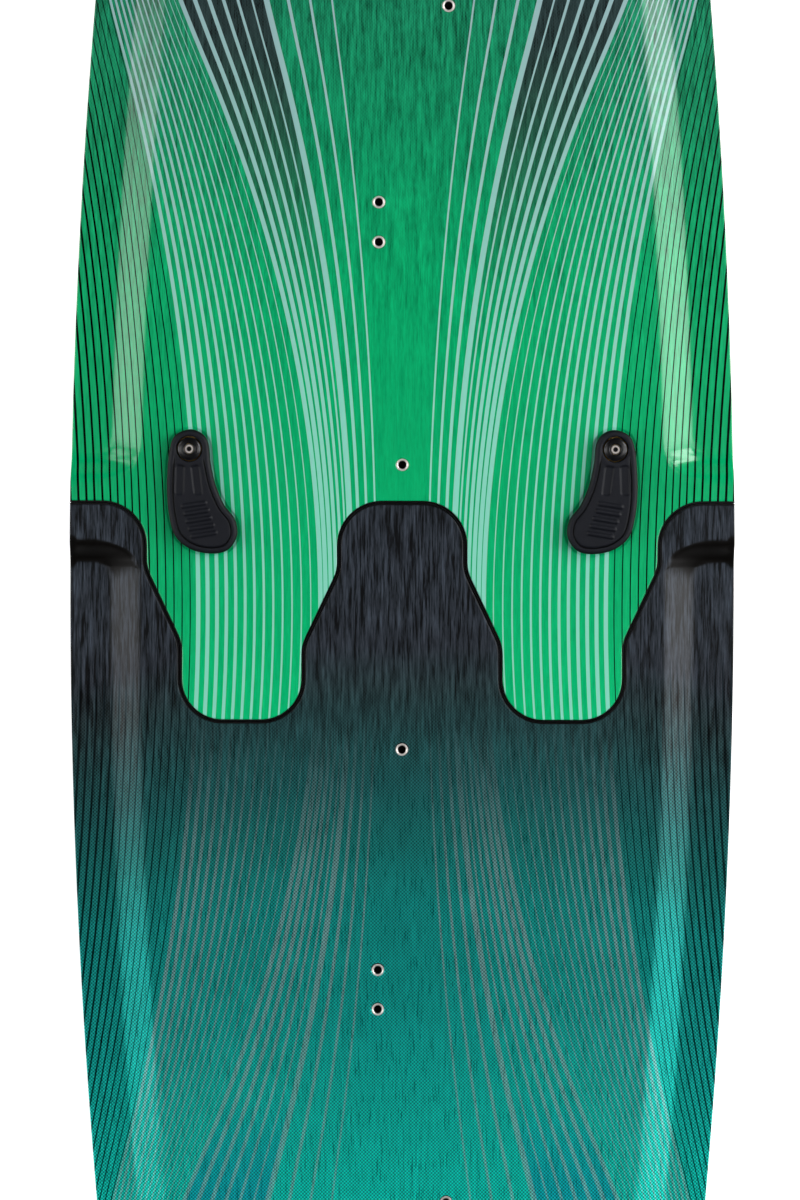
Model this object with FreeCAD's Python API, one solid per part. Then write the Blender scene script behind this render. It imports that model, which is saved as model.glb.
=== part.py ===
"""Split kiteboard: two halves that lap and lock with two turning levers.

X runs across the board, +Y towards the nose, +Z up. The origin is on the ground under the board's centre,
so the bottoms of the four fins are at Z = 0. All lengths are in millimetres.
"""
import FreeCAD, Part
import math
import os
from FreeCAD import Vector

# ---- board shape ----
LENGTH = 1380.0
WIDTH = 420.0
SIDE_RADIUS = 4300.0        # plan curve of each long side
TIP_RADIUS = 600.0          # plan curve of each end
TIP_CORNER_RADIUS = 70.0
FLAT_HALF = 155.0           # the middle is straight for this far each way, then the rocker begins
ROCKER = 38.0               # rise of each tip
BASE_Z = 20.0               # underside of the straight middle above the fin bottoms
CENTRE_THICKNESS = 17.0
TIP_THICKNESS = 9.0
TAPER_START = 250.0
RAIL_THICKNESS = 8.5
RAIL_TIP_THICKNESS = 7.5
BEVEL_OUTER = 27.0          # the deck steps down to the thin rail between these distances from the edge
BEVEL_INNER = 43.0
DECK_SKIN = 1.2
BASE_SKIN = 1.0
RAIL_STRIP = 6.0            # width of the plastic strip bonded round the core
RAIL_END_Y = 570.0          # the side strips meet the tip strip here
STATION_STEP = 41.0
STATION_COUNT = 14
OVERRUN = 5.0               # layers are made this much too wide, then trimmed to the plan outline
END_OVERRUN = 10.0          # and this much too long at the tip
LAP_OVERRUN = 15.0          # and this much past the lap

# ---- joint between the halves ----
NOSE_RAMP = (80.0, 95.0)    # the rail goes from full height to thin between these Y
TAIL_RAMP = (42.0, 29.0)
LAP_Z = 28.0                # top of the tail's shelf
LAP_GAP = 0.3
JOINT_GAP = 0.5             # between the two edge strips, seen from above
EDGE_STRIP = 1.0
LAP_PLATE = 1.0
SHELF_SIDE_Y = 74.0
SHELF_END_Y = 125.0
SHELF_HALF_WIDTH = 158.0
SHELF_SIDE_FILLET = 10.0
SHELF_END_FILLET = 16.0
SHELF_GAP = 0.4
PEAK_Y = 66.0
TONGUE_Y = -72.3
BIG_FILLET = 27.0
SLIGHT_FILLET = 25.0
# corners of the wave from the board's centre line to its right side
WAVE = (
    (39.8, PEAK_Y, BIG_FILLET),
    (39.8, 23.0, SLIGHT_FILLET),
    (62.2, -24.3, SLIGHT_FILLET),
    (62.2, TONGUE_Y, BIG_FILLET),
    (140.3, TONGUE_Y, BIG_FILLET),
    (140.3, -22.4, SLIGHT_FILLET),
    (162.4, 25.0, SLIGHT_FILLET),
    (162.4, PEAK_Y, BIG_FILLET),
)

# ---- lever locks ----
LOCK_X = 134.0
LOCK_Y = 100.0
LEVER_FLOAT = 0.35          # between the lever's underside and the deck
LEVER_THICKNESS = 7.0
LEVER_EDGE = 1.6            # rounding of the lever's upper edge
DISH_DEPTH = 0.7
DISH_MARGIN = 1.6
# outline of the left lever about its pivot, from the head's top and round the outer side
LEVER_OUTLINE = (
    (0.0, 12.2), (-8.8, 8.6), (-12.4, 0.0), (-13.8, -14.0), (-14.1, -28.0), (-12.6, -43.0),
    (-8.6, -55.5), (1.0, -63.3), (14.0, -66.0), (24.3, -63.6), (29.9, -55.0), (28.6, -44.4),
    (21.8, -35.2), (16.4, -22.5), (13.4, -9.0), (11.9, 3.6), (7.6, 9.8),
)
FLUTE_X = (-6.2, 5.0)       # two shallow slots below the lever's head
FLUTE_Y = (-26.0, -12.0)
FLUTE_HALF_WIDTH = 1.6
FLUTE_DEPTH = 1.2
RIB_COUNT = 5               # grip grooves across the lever's paddle, each longer than the one above
RIB_FIRST_Y = -34.0
RIB_PITCH = 4.6
RIB_HALF_WIDTH = 0.9
RIB_DEPTH = 0.9
RIB_START_X = -4.0
RIB_END_X = 14.0
RIB_START_STEP = 1.2
RIB_END_STEP = 1.8
RIM_FINDER = 0.01           # an edge this near the top face's height belongs to it
CAP_RADIUS = 7.25
CAP_HEIGHT = 2.0
CAP_RING_RADIUS = 8.0
CAP_RECESS = 1.15
CAP_HOLE_RADIUS = 3.4
CAP_FLATTENING = 1.0        # added to the dome's radius, so that the cap keeps a low upright edge
HUB_HEX_RADIUS = 7.5
HUB_HEX_HEIGHT = 3.6
HUB_BOSS_RADIUS = 5.5
HUB_LIFT = 1.05             # lever material under the hub's hexagon
ROOT = 0.5                  # length by which joined forms run into each other
HUB_BOTTOM_Z = 28.9
HUB_BORE_RADIUS = 3.1
SEAT_RADIUS = 8.0
SEAT_FLANGE_RADIUS = 10.0
SEAT_FLANGE = 1.2
SEAT_BORE_RADIUS = 5.6
SEAT_BOTTOM_Z = 28.6
SEAT_SHOULDER_Z = 30.6
SEAT_COUNTERBORE_RADIUS = 7.2
RING_Z = 29.4
RING_THICKNESS = 0.8
RING_INNER_RADIUS = 4.7
RING_OUTER_RADIUS = 6.8
RING_SPLIT = 3.0
RING_REACH = 20.0           # the splitting cut ends well outside the ring
BOLT_RADIUS = 3.0
BOLT_TOP_Z = 44.9
BOLT_SOCKET_RADIUS = 1.45
BOLT_SOCKET_DEPTH = 2.0
BOLT_HEAD = (13.0, 7.0, 2.2)
BOLT_HEAD_Z = 23.2
TRACK_HALF_WIDTH = 9.0
TRACK_FLOOR = 0.8
TRACK_CAVITY_HALF = 6.9
TRACK_SLOT_HALF = 3.4
TRACK_LIP_Z = 25.7
TRACK_STOP_Y = 96.1
TRACK_BODY_Y = 90.0
TRACK_EAR_Y = 76.0
TRACK_EAR_Z = 26.0
TRACK_SCREW_X = 4.8
TRACK_SCREW_Y = 83.0
TRACK_SCREW_RADIUS = 1.5
TRACK_SCREW_HEAD_RADIUS = 3.4
TRACK_SCREW_HEAD = 1.9
TRACK_SCREW_FLOOR = 0.5     # core left under the screw's tip

# ---- threaded inserts ----
HANDLE_INSERT_Y = 90.0
PAD_INSERTS = ((-15.0, 230.0), (-15.0, 255.0), (28.5, 377.5), (28.5, 402.5))
INSERT_RADIUS = 3.9
INSERT_BORE_RADIUS = 2.5
INSERT_LENGTH = 7.6
INSERT_BORE_DEPTH = 6.8

# ---- fins ----
FIN_X = 108.0
FIN_THICKNESS = 6.0
FIN_FLANGE_WIDTH = 14.0
FIN_FLANGE_HEIGHT = 10.0
FIN_ROOT_Y = (540.0, 655.0)
FIN_SHOULDER_Z = (30.0, 24.0)   # where the front and back edges begin to lean in
FIN_LEAN = (22.0, 16.0)
FIN_ROUNDING = (10.0, 14.0, 12.0, 12.0)
FIN_SCREW_Y = (568.0, 624.0)
SCREW_RADIUS = 3.0
SCREW_GRIP = 7.0            # thread length inside the fin
SCREW_HEAD_RADIUS = 5.0
SCREW_HEAD_HEIGHT = 2.6
SCREW_SOCKET_RADIUS = 2.3
SCREW_SOCKET_FLOOR = 0.8
WASHER_RADIUS = 6.3
WASHER_THICKNESS = 1.0
COUNTERBORE_RADIUS = 6.6
COUNTERBORE_DEPTH = 2.2

# ---- worked out from the above ----
DECK_Z = BASE_Z + CENTRE_THICKNESS
DISH_Z = DECK_Z - DISH_DEPTH
LEVER_Z = DECK_Z + LEVER_FLOAT
LEVER_TOP_Z = LEVER_Z + LEVER_THICKNESS
HUB_HEX_Z = LEVER_Z + HUB_LIFT
HUB_TOP_Z = HUB_HEX_Z + HUB_HEX_HEIGHT
CAP_Z = LEVER_TOP_Z - CAP_RECESS
ROCKER_RADIUS = (LENGTH / 2 - FLAT_HALF) ** 2 / (2 * ROCKER)
FLATNESS = 1e-6
CUBIC_CM = 1000.0
HIGH_Z = 120.0
LOW_Z = -20.0
FAR = 900.0
SIDES = (("left", -1), ("right", 1))
UP = Vector(0, 0, 1)


# ---- curves along the board ----
def half_width(y):
    return WIDTH / 2 - SIDE_RADIUS + math.sqrt(SIDE_RADIUS ** 2 - y ** 2)


def base_z(y):
    past_flat = max(0.0, abs(y) - FLAT_HALF)
    return BASE_Z + past_flat ** 2 / (2 * ROCKER_RADIUS)


def taper(y):
    part = (abs(y) - TAPER_START) / (LENGTH / 2 - TAPER_START)
    part = min(1.0, max(0.0, part))
    return part * part * (3 - 2 * part)


def centre_thickness(y):
    return CENTRE_THICKNESS + (TIP_THICKNESS - CENTRE_THICKNESS) * taper(y)


def rail_thickness(y, ramp):
    """Rail height: full beside the joint, thin past the ramp, whose two Y values are given."""
    full_y, thin_y = ramp
    past = (y - full_y) / (thin_y - full_y)
    thin = RAIL_THICKNESS + (RAIL_TIP_THICKNESS - RAIL_THICKNESS) * taper(y)
    return centre_thickness(y) if past < 0.5 else thin


# ---- solid helpers ----
def prism(face, low=LOW_Z, high=HIGH_Z):
    shape = face.copy()
    shape.translate(Vector(0, 0, low))
    return shape.extrude(Vector(0, 0, high - low))


def cylinder(radius, low, high, x=0.0, y=0.0):
    return Part.makeCylinder(radius, high - low, Vector(x, y, low), UP)


def block(x_low, x_high, y_low, y_high, z_low, z_high):
    return Part.makeBox(x_high - x_low, y_high - y_low, z_high - z_low, Vector(x_low, y_low, z_low))


def mirrored(shape):
    return shape.mirror(Vector(0, 0, 0), Vector(1, 0, 0))


def joined(shapes):
    return shapes[0].fuse(list(shapes[1:])).removeSplitter()


def arc(first, middle, last):
    return Part.Arc(first, middle, last).toShape()


def region_face(corners, inset=0.0):
    """Face inside a counter-clockwise loop of (x, y, fillet radius) corners, drawn in by inset."""
    count = len(corners)
    spots = [Vector(x, y, 0) for x, y, radius in corners]
    headings = [(spots[(i + 1) % count] - spots[i]).normalize() for i in range(count)]
    bends = []
    for i, (x, y, radius) in enumerate(corners):
        before = headings[i - 1]
        after = headings[i]
        turn = math.atan2(before.cross(after).z, before.dot(after))
        inward = Vector(-before.y - after.y, before.x + after.x, 0)
        corner = spots[i] + inward * (inset / (1 + before.dot(after)))
        rounding = radius - math.copysign(inset, turn) if radius else 0.0
        reach = rounding * math.tan(abs(turn) / 2)
        to_centre = inward.normalize() * math.copysign(1, turn)
        middle = corner + to_centre * (rounding / math.cos(turn / 2) - rounding)
        bends.append((corner - before * reach, middle, corner + after * reach, rounding))
    edges = []
    for i, (start, middle, end, rounding) in enumerate(bends):
        if rounding:
            edges.append(arc(start, middle, end))
        next_start = bends[(i + 1) % count][0]
        edges.append(Part.LineSegment(end, next_start).toShape())
    return Part.Face(Part.Wire(edges))


def outline_face(inset=0.0):
    """The board's plan outline: long side arcs, end arcs and rounded corners, drawn in by inset."""
    side_centre = Vector(WIDTH / 2 - SIDE_RADIUS, 0, 0)
    tip_centre = Vector(0, LENGTH / 2 - TIP_RADIUS, 0)
    to_side = SIDE_RADIUS - TIP_CORNER_RADIUS
    to_tip = TIP_RADIUS - TIP_CORNER_RADIUS
    between = tip_centre - side_centre
    along = (to_side ** 2 - to_tip ** 2 + between.Length ** 2) / (2 * between.Length)
    across = math.sqrt(to_side ** 2 - along ** 2)
    heading = Vector(between).normalize()
    corner = side_centre + heading * along + Vector(-heading.y, heading.x, 0) * across
    rounding = TIP_CORNER_RADIUS - inset
    from_side = (corner - side_centre).normalize()
    from_tip = (corner - tip_centre).normalize()
    side_end = corner + from_side * rounding
    tip_end = corner + from_tip * rounding
    corner_middle = corner + (from_side + from_tip).normalize() * rounding
    side_middle = Vector(WIDTH / 2 - inset, 0, 0)
    tip_middle = Vector(0, LENGTH / 2 - inset, 0)

    def turned(point, x_sign, y_sign):
        return Vector(point.x * x_sign, point.y * y_sign, 0)

    edges = []
    for x_sign in (1, -1):
        edges.append(arc(turned(side_end, x_sign, -1), turned(side_middle, x_sign, 1),
                         turned(side_end, x_sign, 1)))
        for y_sign in (1, -1):
            edges.append(arc(turned(side_end, x_sign, y_sign), turned(corner_middle, x_sign, y_sign),
                             turned(tip_end, x_sign, y_sign)))
    for y_sign in (1, -1):
        edges.append(arc(turned(tip_end, 1, y_sign), turned(tip_middle, 1, y_sign),
                         turned(tip_end, -1, y_sign)))
    return Part.Face(Part.Wire(Part.__sortEdges__(edges)))


def wave_line():
    """Corners of the wave from the left side of the board to the right."""
    left = tuple((-x, y, radius) for x, y, radius in reversed(WAVE))
    return ((-FAR, PEAK_Y, 0),) + left + WAVE + ((FAR, PEAK_Y, 0),)


def nose_side(inset):
    return region_face(wave_line() + ((FAR, FAR, 0), (-FAR, FAR, 0)), inset)


def tail_side(inset):
    return region_face(tuple(reversed(wave_line())) + ((-FAR, -FAR, 0), (FAR, -FAR, 0)), inset)


def shelf_side(gap):
    """Region of the tail's lower layer: full width beside the joint, then a tongue under the nose."""
    corners = (
        (-FAR, -FAR, 0), (FAR, -FAR, 0), (FAR, SHELF_SIDE_Y, 0),
        (SHELF_HALF_WIDTH, SHELF_SIDE_Y, SHELF_SIDE_FILLET),
        (SHELF_HALF_WIDTH, SHELF_END_Y, SHELF_END_FILLET),
        (-SHELF_HALF_WIDTH, SHELF_END_Y, SHELF_END_FILLET),
        (-SHELF_HALF_WIDTH, SHELF_SIDE_Y, SHELF_SIDE_FILLET),
        (-FAR, SHELF_SIDE_Y, 0),
    )
    return region_face(corners, -gap)


def flat_face(corners):
    return Part.Face(Part.makePolygon(list(corners) + [corners[0]]))


def faceted_solid(sections):
    """Closed solid through sections with matching corners, with two triangles wherever four corners twist.

    Such a twisted patch is always split from its inner near corner to its outer far corner, so that the
    faces of two layers that share the patch coincide.
    """
    faces = [flat_face(sections[0]), flat_face(sections[-1])]
    for near, far in zip(sections, sections[1:]):
        for i in range(len(near)):
            j = (i + 1) % len(near)
            if abs(near[i].x) < abs(near[j].x):
                inner, outer = i, j
            else:
                inner, outer = j, i
            across = (near[outer] - near[inner]).cross(far[outer] - near[inner]).normalize()
            if abs(across.dot(far[inner] - near[inner])) < FLATNESS:
                faces.append(flat_face([near[inner], near[outer], far[outer], far[inner]]))
            else:
                faces.append(flat_face([near[inner], near[outer], far[outer]]))
                faces.append(flat_face([near[inner], far[outer], far[inner]]))
    shell = Part.Shell(faces)
    shell.sewShape()
    solid = Part.Solid(shell)
    if solid.Volume < 0:
        solid.reverse()
    return solid


def deck_line(y, ramp, drop):
    """Cross-section of the deck surface at y, from the right edge to the left, lowered by drop."""
    wide = half_width(y)
    low = base_z(y) + rail_thickness(y, ramp) - drop
    high = base_z(y) + centre_thickness(y) - drop
    right = [(wide + OVERRUN, low), (wide - BEVEL_OUTER, low), (wide - BEVEL_INNER, high)]
    return [Vector(x, y, z) for x, z in right] + [Vector(-x, y, z) for x, z in reversed(right)]


def base_line(y, rise):
    """Cross-section of the base at y, from the left edge to the right, raised by rise."""
    wide = half_width(y) + OVERRUN
    return [Vector(-wide, y, base_z(y) + rise), Vector(wide, y, base_z(y) + rise)]


def under_deck(stations, ramp, drop, rise):
    """Solid from the base, raised by rise, up to the deck surface, lowered by drop."""
    return faceted_solid([deck_line(y, ramp, drop) + base_line(y, rise) for y in stations])


def deck_layer(stations, ramp):
    return faceted_solid([deck_line(y, ramp, 0.0) + deck_line(y, ramp, DECK_SKIN)[::-1] for y in stations])


def base_layer(stations):
    return faceted_solid([base_line(y, 0.0) + base_line(y, BASE_SKIN)[::-1] for y in stations])


# ---- lever lock pieces, made for the left side about the pivot's own X and Y ----
def smooth_loop(points):
    curve = Part.BSplineCurve()
    curve.interpolate(points, PeriodicFlag=True)
    return curve


def lever_wire(margin, z):
    """The lever's outline at height z, moved outwards by margin."""
    spots = [Vector(x, y, z) for x, y in LEVER_OUTLINE]
    outline = smooth_loop(spots)
    moved = []
    for spot in spots:
        heading = outline.tangent(outline.parameter(spot))[0]
        moved.append(spot + Vector(heading.y, -heading.x, 0) * margin)
    return Part.Wire(smooth_loop(moved).toShape())


def lever_prism(margin, low, high):
    return Part.Face(lever_wire(margin, low)).extrude(Vector(0, 0, high - low))


def dish_cutter():
    """Shallow sloping-sided recess that the lever hovers over."""
    wall_top = lever_wire(DISH_MARGIN, DECK_Z)
    wall_foot = lever_wire(DISH_MARGIN - DISH_DEPTH, DISH_Z)
    sunk = Part.makeLoft([wall_foot, wall_top], True, True)
    return sunk.fuse(lever_prism(DISH_MARGIN, DECK_Z, HIGH_Z))


def hexagon(radius, low, high):
    corners = [Vector(radius * math.cos(math.radians(60 * i)), radius * math.sin(math.radians(60 * i)), low)
               for i in range(6)]
    return Part.Face(Part.makePolygon(corners + [corners[0]])).extrude(Vector(0, 0, high - low))


def lever_hub():
    hub = joined([cylinder(HUB_BOSS_RADIUS, HUB_BOTTOM_Z, HUB_HEX_Z + ROOT),
                  hexagon(HUB_HEX_RADIUS, HUB_HEX_Z, HUB_TOP_Z)])
    groove = cylinder(SEAT_RADIUS, RING_Z, RING_Z + RING_THICKNESS)
    groove = groove.cut(cylinder(RING_INNER_RADIUS, RING_Z, RING_Z + RING_THICKNESS))
    return hub.cut(groove).cut(cylinder(HUB_BORE_RADIUS, LOW_Z, HIGH_Z))


def lever_arm():
    arm = lever_prism(0, LEVER_Z, LEVER_TOP_Z)
    rim = [edge for edge in arm.Edges if abs(edge.BoundBox.ZMin - LEVER_TOP_Z) < RIM_FINDER]
    arm = arm.makeFillet(LEVER_EDGE, rim)
    low_y, high_y = FLUTE_Y
    for x in FLUTE_X:
        arm = arm.cut(block(x - FLUTE_HALF_WIDTH, x + FLUTE_HALF_WIDTH, low_y, high_y,
                            LEVER_TOP_Z - FLUTE_DEPTH, HIGH_Z))
    for rib in range(RIB_COUNT):
        y = RIB_FIRST_Y - RIB_PITCH * rib
        start_x = RIB_START_X + RIB_START_STEP * rib
        end_x = RIB_END_X + RIB_END_STEP * rib
        arm = arm.cut(block(start_x, end_x, y - RIB_HALF_WIDTH, y + RIB_HALF_WIDTH,
                            LEVER_TOP_Z - RIB_DEPTH, HIGH_Z))
    arm = arm.cut(cylinder(HUB_BOSS_RADIUS, LOW_Z, HUB_HEX_Z + ROOT))
    arm = arm.cut(hexagon(HUB_HEX_RADIUS, HUB_HEX_Z, HUB_TOP_Z))
    arm = arm.cut(cylinder(CAP_RING_RADIUS, CAP_Z, HIGH_Z))
    return arm.cut(cylinder(CAP_HOLE_RADIUS, LOW_Z, HIGH_Z))


def lever_cap():
    dome_radius = (CAP_RADIUS ** 2 + CAP_HEIGHT ** 2) / (2 * CAP_HEIGHT) + CAP_FLATTENING
    dome = Part.makeSphere(dome_radius, Vector(0, 0, CAP_Z + CAP_HEIGHT - dome_radius))
    disc = cylinder(CAP_RADIUS, CAP_Z, CAP_Z + CAP_HEIGHT).common(dome)
    return disc.cut(cylinder(CAP_HOLE_RADIUS, LOW_Z, HIGH_Z))


def retaining_ring():
    top = RING_Z + RING_THICKNESS
    ring = cylinder(RING_OUTER_RADIUS, RING_Z, top).cut(cylinder(RING_INNER_RADIUS, RING_Z, top))
    return ring.cut(block(-RING_SPLIT / 2, RING_SPLIT / 2, 0, RING_REACH, LOW_Z, HIGH_Z))


def lever_seat():
    seat = joined([cylinder(SEAT_RADIUS, SEAT_BOTTOM_Z, DISH_Z),
                   cylinder(SEAT_FLANGE_RADIUS, DISH_Z - SEAT_FLANGE, DISH_Z)])
    seat = seat.cut(cylinder(SEAT_COUNTERBORE_RADIUS, LOW_Z, SEAT_SHOULDER_Z))
    return seat.cut(cylinder(SEAT_BORE_RADIUS, LOW_Z, HIGH_Z))


def seat_cutter():
    return cylinder(SEAT_RADIUS, LAP_Z, DISH_Z).fuse(
        cylinder(SEAT_FLANGE_RADIUS, DISH_Z - SEAT_FLANGE, DISH_Z))


def clamp_bolt():
    wide, deep, tall = BOLT_HEAD
    head = block(-wide / 2, wide / 2, -deep / 2, deep / 2, BOLT_HEAD_Z, BOLT_HEAD_Z + tall)
    bolt = joined([head, cylinder(BOLT_RADIUS, BOLT_HEAD_Z + tall - ROOT, BOLT_TOP_Z)])
    return bolt.cut(hexagon(BOLT_SOCKET_RADIUS, BOLT_TOP_Z - BOLT_SOCKET_DEPTH, HIGH_Z))


def track_block():
    """Outer form of a slot track, in the board's Y."""
    body = block(-TRACK_HALF_WIDTH, TRACK_HALF_WIDTH, TRACK_BODY_Y, SHELF_END_Y, BASE_Z + BASE_SKIN, LAP_Z)
    ear = block(-TRACK_HALF_WIDTH, TRACK_HALF_WIDTH, TRACK_EAR_Y, TRACK_BODY_Y, TRACK_EAR_Z, LAP_Z)
    return joined([body, ear])


def track_screw(x):
    tip = BASE_Z + BASE_SKIN + TRACK_SCREW_FLOOR
    shank = cylinder(TRACK_SCREW_RADIUS, tip, LAP_Z, x, TRACK_SCREW_Y)
    head = Part.makeCone(TRACK_SCREW_RADIUS, TRACK_SCREW_HEAD_RADIUS, TRACK_SCREW_HEAD,
                         Vector(x, TRACK_SCREW_Y, LAP_Z - TRACK_SCREW_HEAD), UP)
    return joined([shank, head])


def track_screws():
    return [track_screw(x) for x in (-TRACK_SCREW_X, TRACK_SCREW_X)]


def slot_track():
    track = track_block()
    floor = BASE_Z + BASE_SKIN + TRACK_FLOOR
    track = track.cut(block(-TRACK_CAVITY_HALF, TRACK_CAVITY_HALF, TRACK_STOP_Y, FAR, floor, TRACK_LIP_Z))
    track = track.cut(block(-TRACK_SLOT_HALF, TRACK_SLOT_HALF, TRACK_STOP_Y, FAR, floor, HIGH_Z))
    return track.cut(track_screws())


def at_lock(shape, sign, y=LOCK_Y):
    """Puts a left-side lock piece at the left or the right pivot."""
    placed = shape.copy() if sign < 0 else mirrored(shape)
    placed.translate(Vector(sign * LOCK_X, y, 0))
    return placed


# ---- inserts, fins and their screws ----
def insert_places(direction):
    """Plan positions of one half's inserts, handle insert first."""
    places = [(0.0, direction * HANDLE_INSERT_Y)]
    return places + [(x, direction * y) for x, y in PAD_INSERTS]


def insert_blank(x, y, hull):
    top = base_z(y) + centre_thickness(y)
    return cylinder(INSERT_RADIUS, top - INSERT_LENGTH, HIGH_Z, x, y).common(hull)


def insert(x, y, hull):
    top = base_z(y) + centre_thickness(y)
    return insert_blank(x, y, hull).cut(cylinder(INSERT_BORE_RADIUS, top - INSERT_BORE_DEPTH, HIGH_Z, x, y))


def fin(sign, direction, hull):
    """Raked blade with a wider root flange that fits the curved base."""
    front, back = FIN_ROOT_Y
    front_z, back_z = FIN_SHOULDER_Z
    front_lean, back_lean = FIN_LEAN
    front_bend, front_tip, back_tip, back_bend = FIN_ROUNDING
    top = HIGH_Z
    profile = ((front, top, 0), (front, front_z, front_bend), (front + front_lean, 0.0, front_tip),
               (back - back_lean, 0.0, back_tip), (back, back_z, back_bend), (back, top, 0))
    blade = region_face(profile)
    blade.rotate(Vector(0, 0, 0), Vector(1, 0, 0), 90)
    blade.rotate(Vector(0, 0, 0), Vector(0, 0, 1), 90)
    blade.translate(Vector(-FIN_THICKNESS / 2, 0, 0))
    blade = blade.extrude(Vector(FIN_THICKNESS, 0, 0))
    edge = FIN_FLANGE_WIDTH / 2
    sections = []
    for y in (front, (front + back) / 2, back):
        low = base_z(y) - FIN_FLANGE_HEIGHT
        sections.append([Vector(-edge, y, low), Vector(edge, y, low), Vector(edge, y, top),
                         Vector(-edge, y, top)])
    shape = joined([blade, faceted_solid(sections)])
    if direction < 0:
        shape = shape.mirror(Vector(0, 0, 0), Vector(0, 1, 0))
    shape.translate(Vector(sign * FIN_X, 0, 0))
    shape = shape.cut(hull)
    shape = min(shape.Solids, key=lambda solid: solid.BoundBox.ZMin)
    return shape.cut([fin_screw(sign, direction * y) for y in FIN_SCREW_Y])


def screw_floor(y):
    return base_z(y) + centre_thickness(y) - COUNTERBORE_DEPTH


def fin_screw(sign, y):
    floor = screw_floor(y)
    seat = floor + WASHER_THICKNESS
    x = sign * FIN_X
    screw = joined([cylinder(SCREW_RADIUS, base_z(y) - SCREW_GRIP, seat, x, y),
                    cylinder(SCREW_HEAD_RADIUS, seat, seat + SCREW_HEAD_HEIGHT, x, y)])
    socket = hexagon(SCREW_SOCKET_RADIUS, seat + SCREW_SOCKET_FLOOR, HIGH_Z)
    socket.translate(Vector(x, y, 0))
    return screw.cut(socket)


def fin_washer(sign, y):
    floor = screw_floor(y)
    x = sign * FIN_X
    return cylinder(WASHER_RADIUS, floor, floor + WASHER_THICKNESS, x, y).cut(
        cylinder(SCREW_RADIUS, LOW_Z, HIGH_Z, x, y))


def screw_cutters(direction):
    cutters = []
    for sign in (-1, 1):
        for y in FIN_SCREW_Y:
            spot = direction * y
            cutters.append(cylinder(COUNTERBORE_RADIUS, screw_floor(spot), HIGH_Z, sign * FIN_X, spot))
            cutters.append(cylinder(SCREW_RADIUS, LOW_Z, HIGH_Z, sign * FIN_X, spot))
    return cutters


# ---- one half of the board ----
def half_pieces(name, direction, ramp, upper, upper_inner, lower, lap_low, plate):
    """Skins, core, rails, edge strip, inserts, fins and screws of one half.

    upper and upper_inner are the plan regions above the lap, with and without the edge strip. lower is the
    plan region below it. lap_low is the height where the upper region begins. plate is the laminate
    that faces the other half.
    """
    last = direction * (LENGTH / 2 + END_OVERRUN)
    first = direction * -(SHELF_END_Y + LAP_OVERRUN)
    curved = [FLAT_HALF + STATION_STEP * i for i in range(STATION_COUNT)]
    curved = [direction * y for y in curved if y < abs(last) - STATION_STEP / 2]
    stations = [first, ramp[0], ramp[1]] + curved + [last]
    outline = prism(outline_face())
    inside = prism(outline_face(RAIL_STRIP))
    above = prism(upper, lap_low, HIGH_Z)
    above_inner = prism(upper_inner, lap_low, HIGH_Z)
    below = prism(lower, LOW_Z, lap_low)
    whole = under_deck(stations, ramp, 0.0, 0.0).common(outline)
    hull = whole.common(above.fuse(below))
    inserts = [insert(x, y, hull) for x, y in insert_places(direction)]
    blanks = [insert_blank(x, y, hull) for x, y in insert_places(direction)]
    holes = blanks + screw_cutters(direction)

    middle = under_deck(stations, ramp, DECK_SKIN, BASE_SKIN).common(outline)
    middle = middle.common(above_inner.fuse(below).removeSplitter())
    core = middle.common(inside).cut([plate] + holes)
    strips = middle.cut(inside)
    side = block(-FAR, FAR, min(direction * RAIL_END_Y, -direction * FAR),
                 max(direction * RAIL_END_Y, -direction * FAR), LOW_Z, HIGH_Z)
    pieces = {
        name + "_deck": deck_layer(stations, ramp).common(outline).common(above_inner).cut(holes),
        name + "_core": core,
        name + "_base": base_layer(stations).common(outline).common(prism(lower)).cut(holes),
        name + "_lap_plate": plate.cut(holes),
        name + "_tip_rail": strips.cut(side),
        name + "_joint_edge": whole.common(above).cut(above_inner),
        name + "_handle_insert": inserts[0],
        name + "_pad_inserts": Part.makeCompound(inserts[1:]),
    }
    for side_name, sign in SIDES:
        reach = block(min(0, sign * FAR), max(0, sign * FAR), -FAR, FAR, LOW_Z, HIGH_Z)
        pieces[name + "_rail_" + side_name] = strips.common(side).common(reach)
        pieces[name + "_fin_" + side_name] = fin(sign, direction, whole)
    spots = [(sign, direction * y) for side_name, sign in SIDES for y in FIN_SCREW_Y]
    pieces[name + "_fin_screws"] = Part.makeCompound([fin_screw(sign, y) for sign, y in spots])
    pieces[name + "_fin_washers"] = Part.makeCompound([fin_washer(sign, y) for sign, y in spots])
    return pieces


def nose_half():
    lap_low = LAP_Z + LAP_GAP
    upper = nose_side(JOINT_GAP / 2)
    upper_inner = nose_side(JOINT_GAP / 2 + EDGE_STRIP)
    everything = region_face(((-FAR, -FAR, 0), (FAR, -FAR, 0), (FAR, FAR, 0), (-FAR, FAR, 0)))
    lower = everything.cut(shelf_side(SHELF_GAP)).Faces[0]
    overhang = upper_inner.common(outline_face(RAIL_STRIP)).common(shelf_side(SHELF_GAP))
    plate = prism(overhang.Faces[0], lap_low, lap_low + LAP_PLATE)
    pieces = half_pieces("nose", 1, NOSE_RAMP, upper, upper_inner, lower, lap_low, plate)
    for side_name, sign in SIDES:
        hole = at_lock(seat_cutter(), sign)
        dish = at_lock(dish_cutter(), sign)
        for layer_name in ("nose_deck", "nose_core", "nose_lap_plate"):
            pieces[layer_name] = pieces[layer_name].cut([hole, dish])
        pieces[side_name + "_lever_seat"] = at_lock(lever_seat(), sign)
    return pieces


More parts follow.
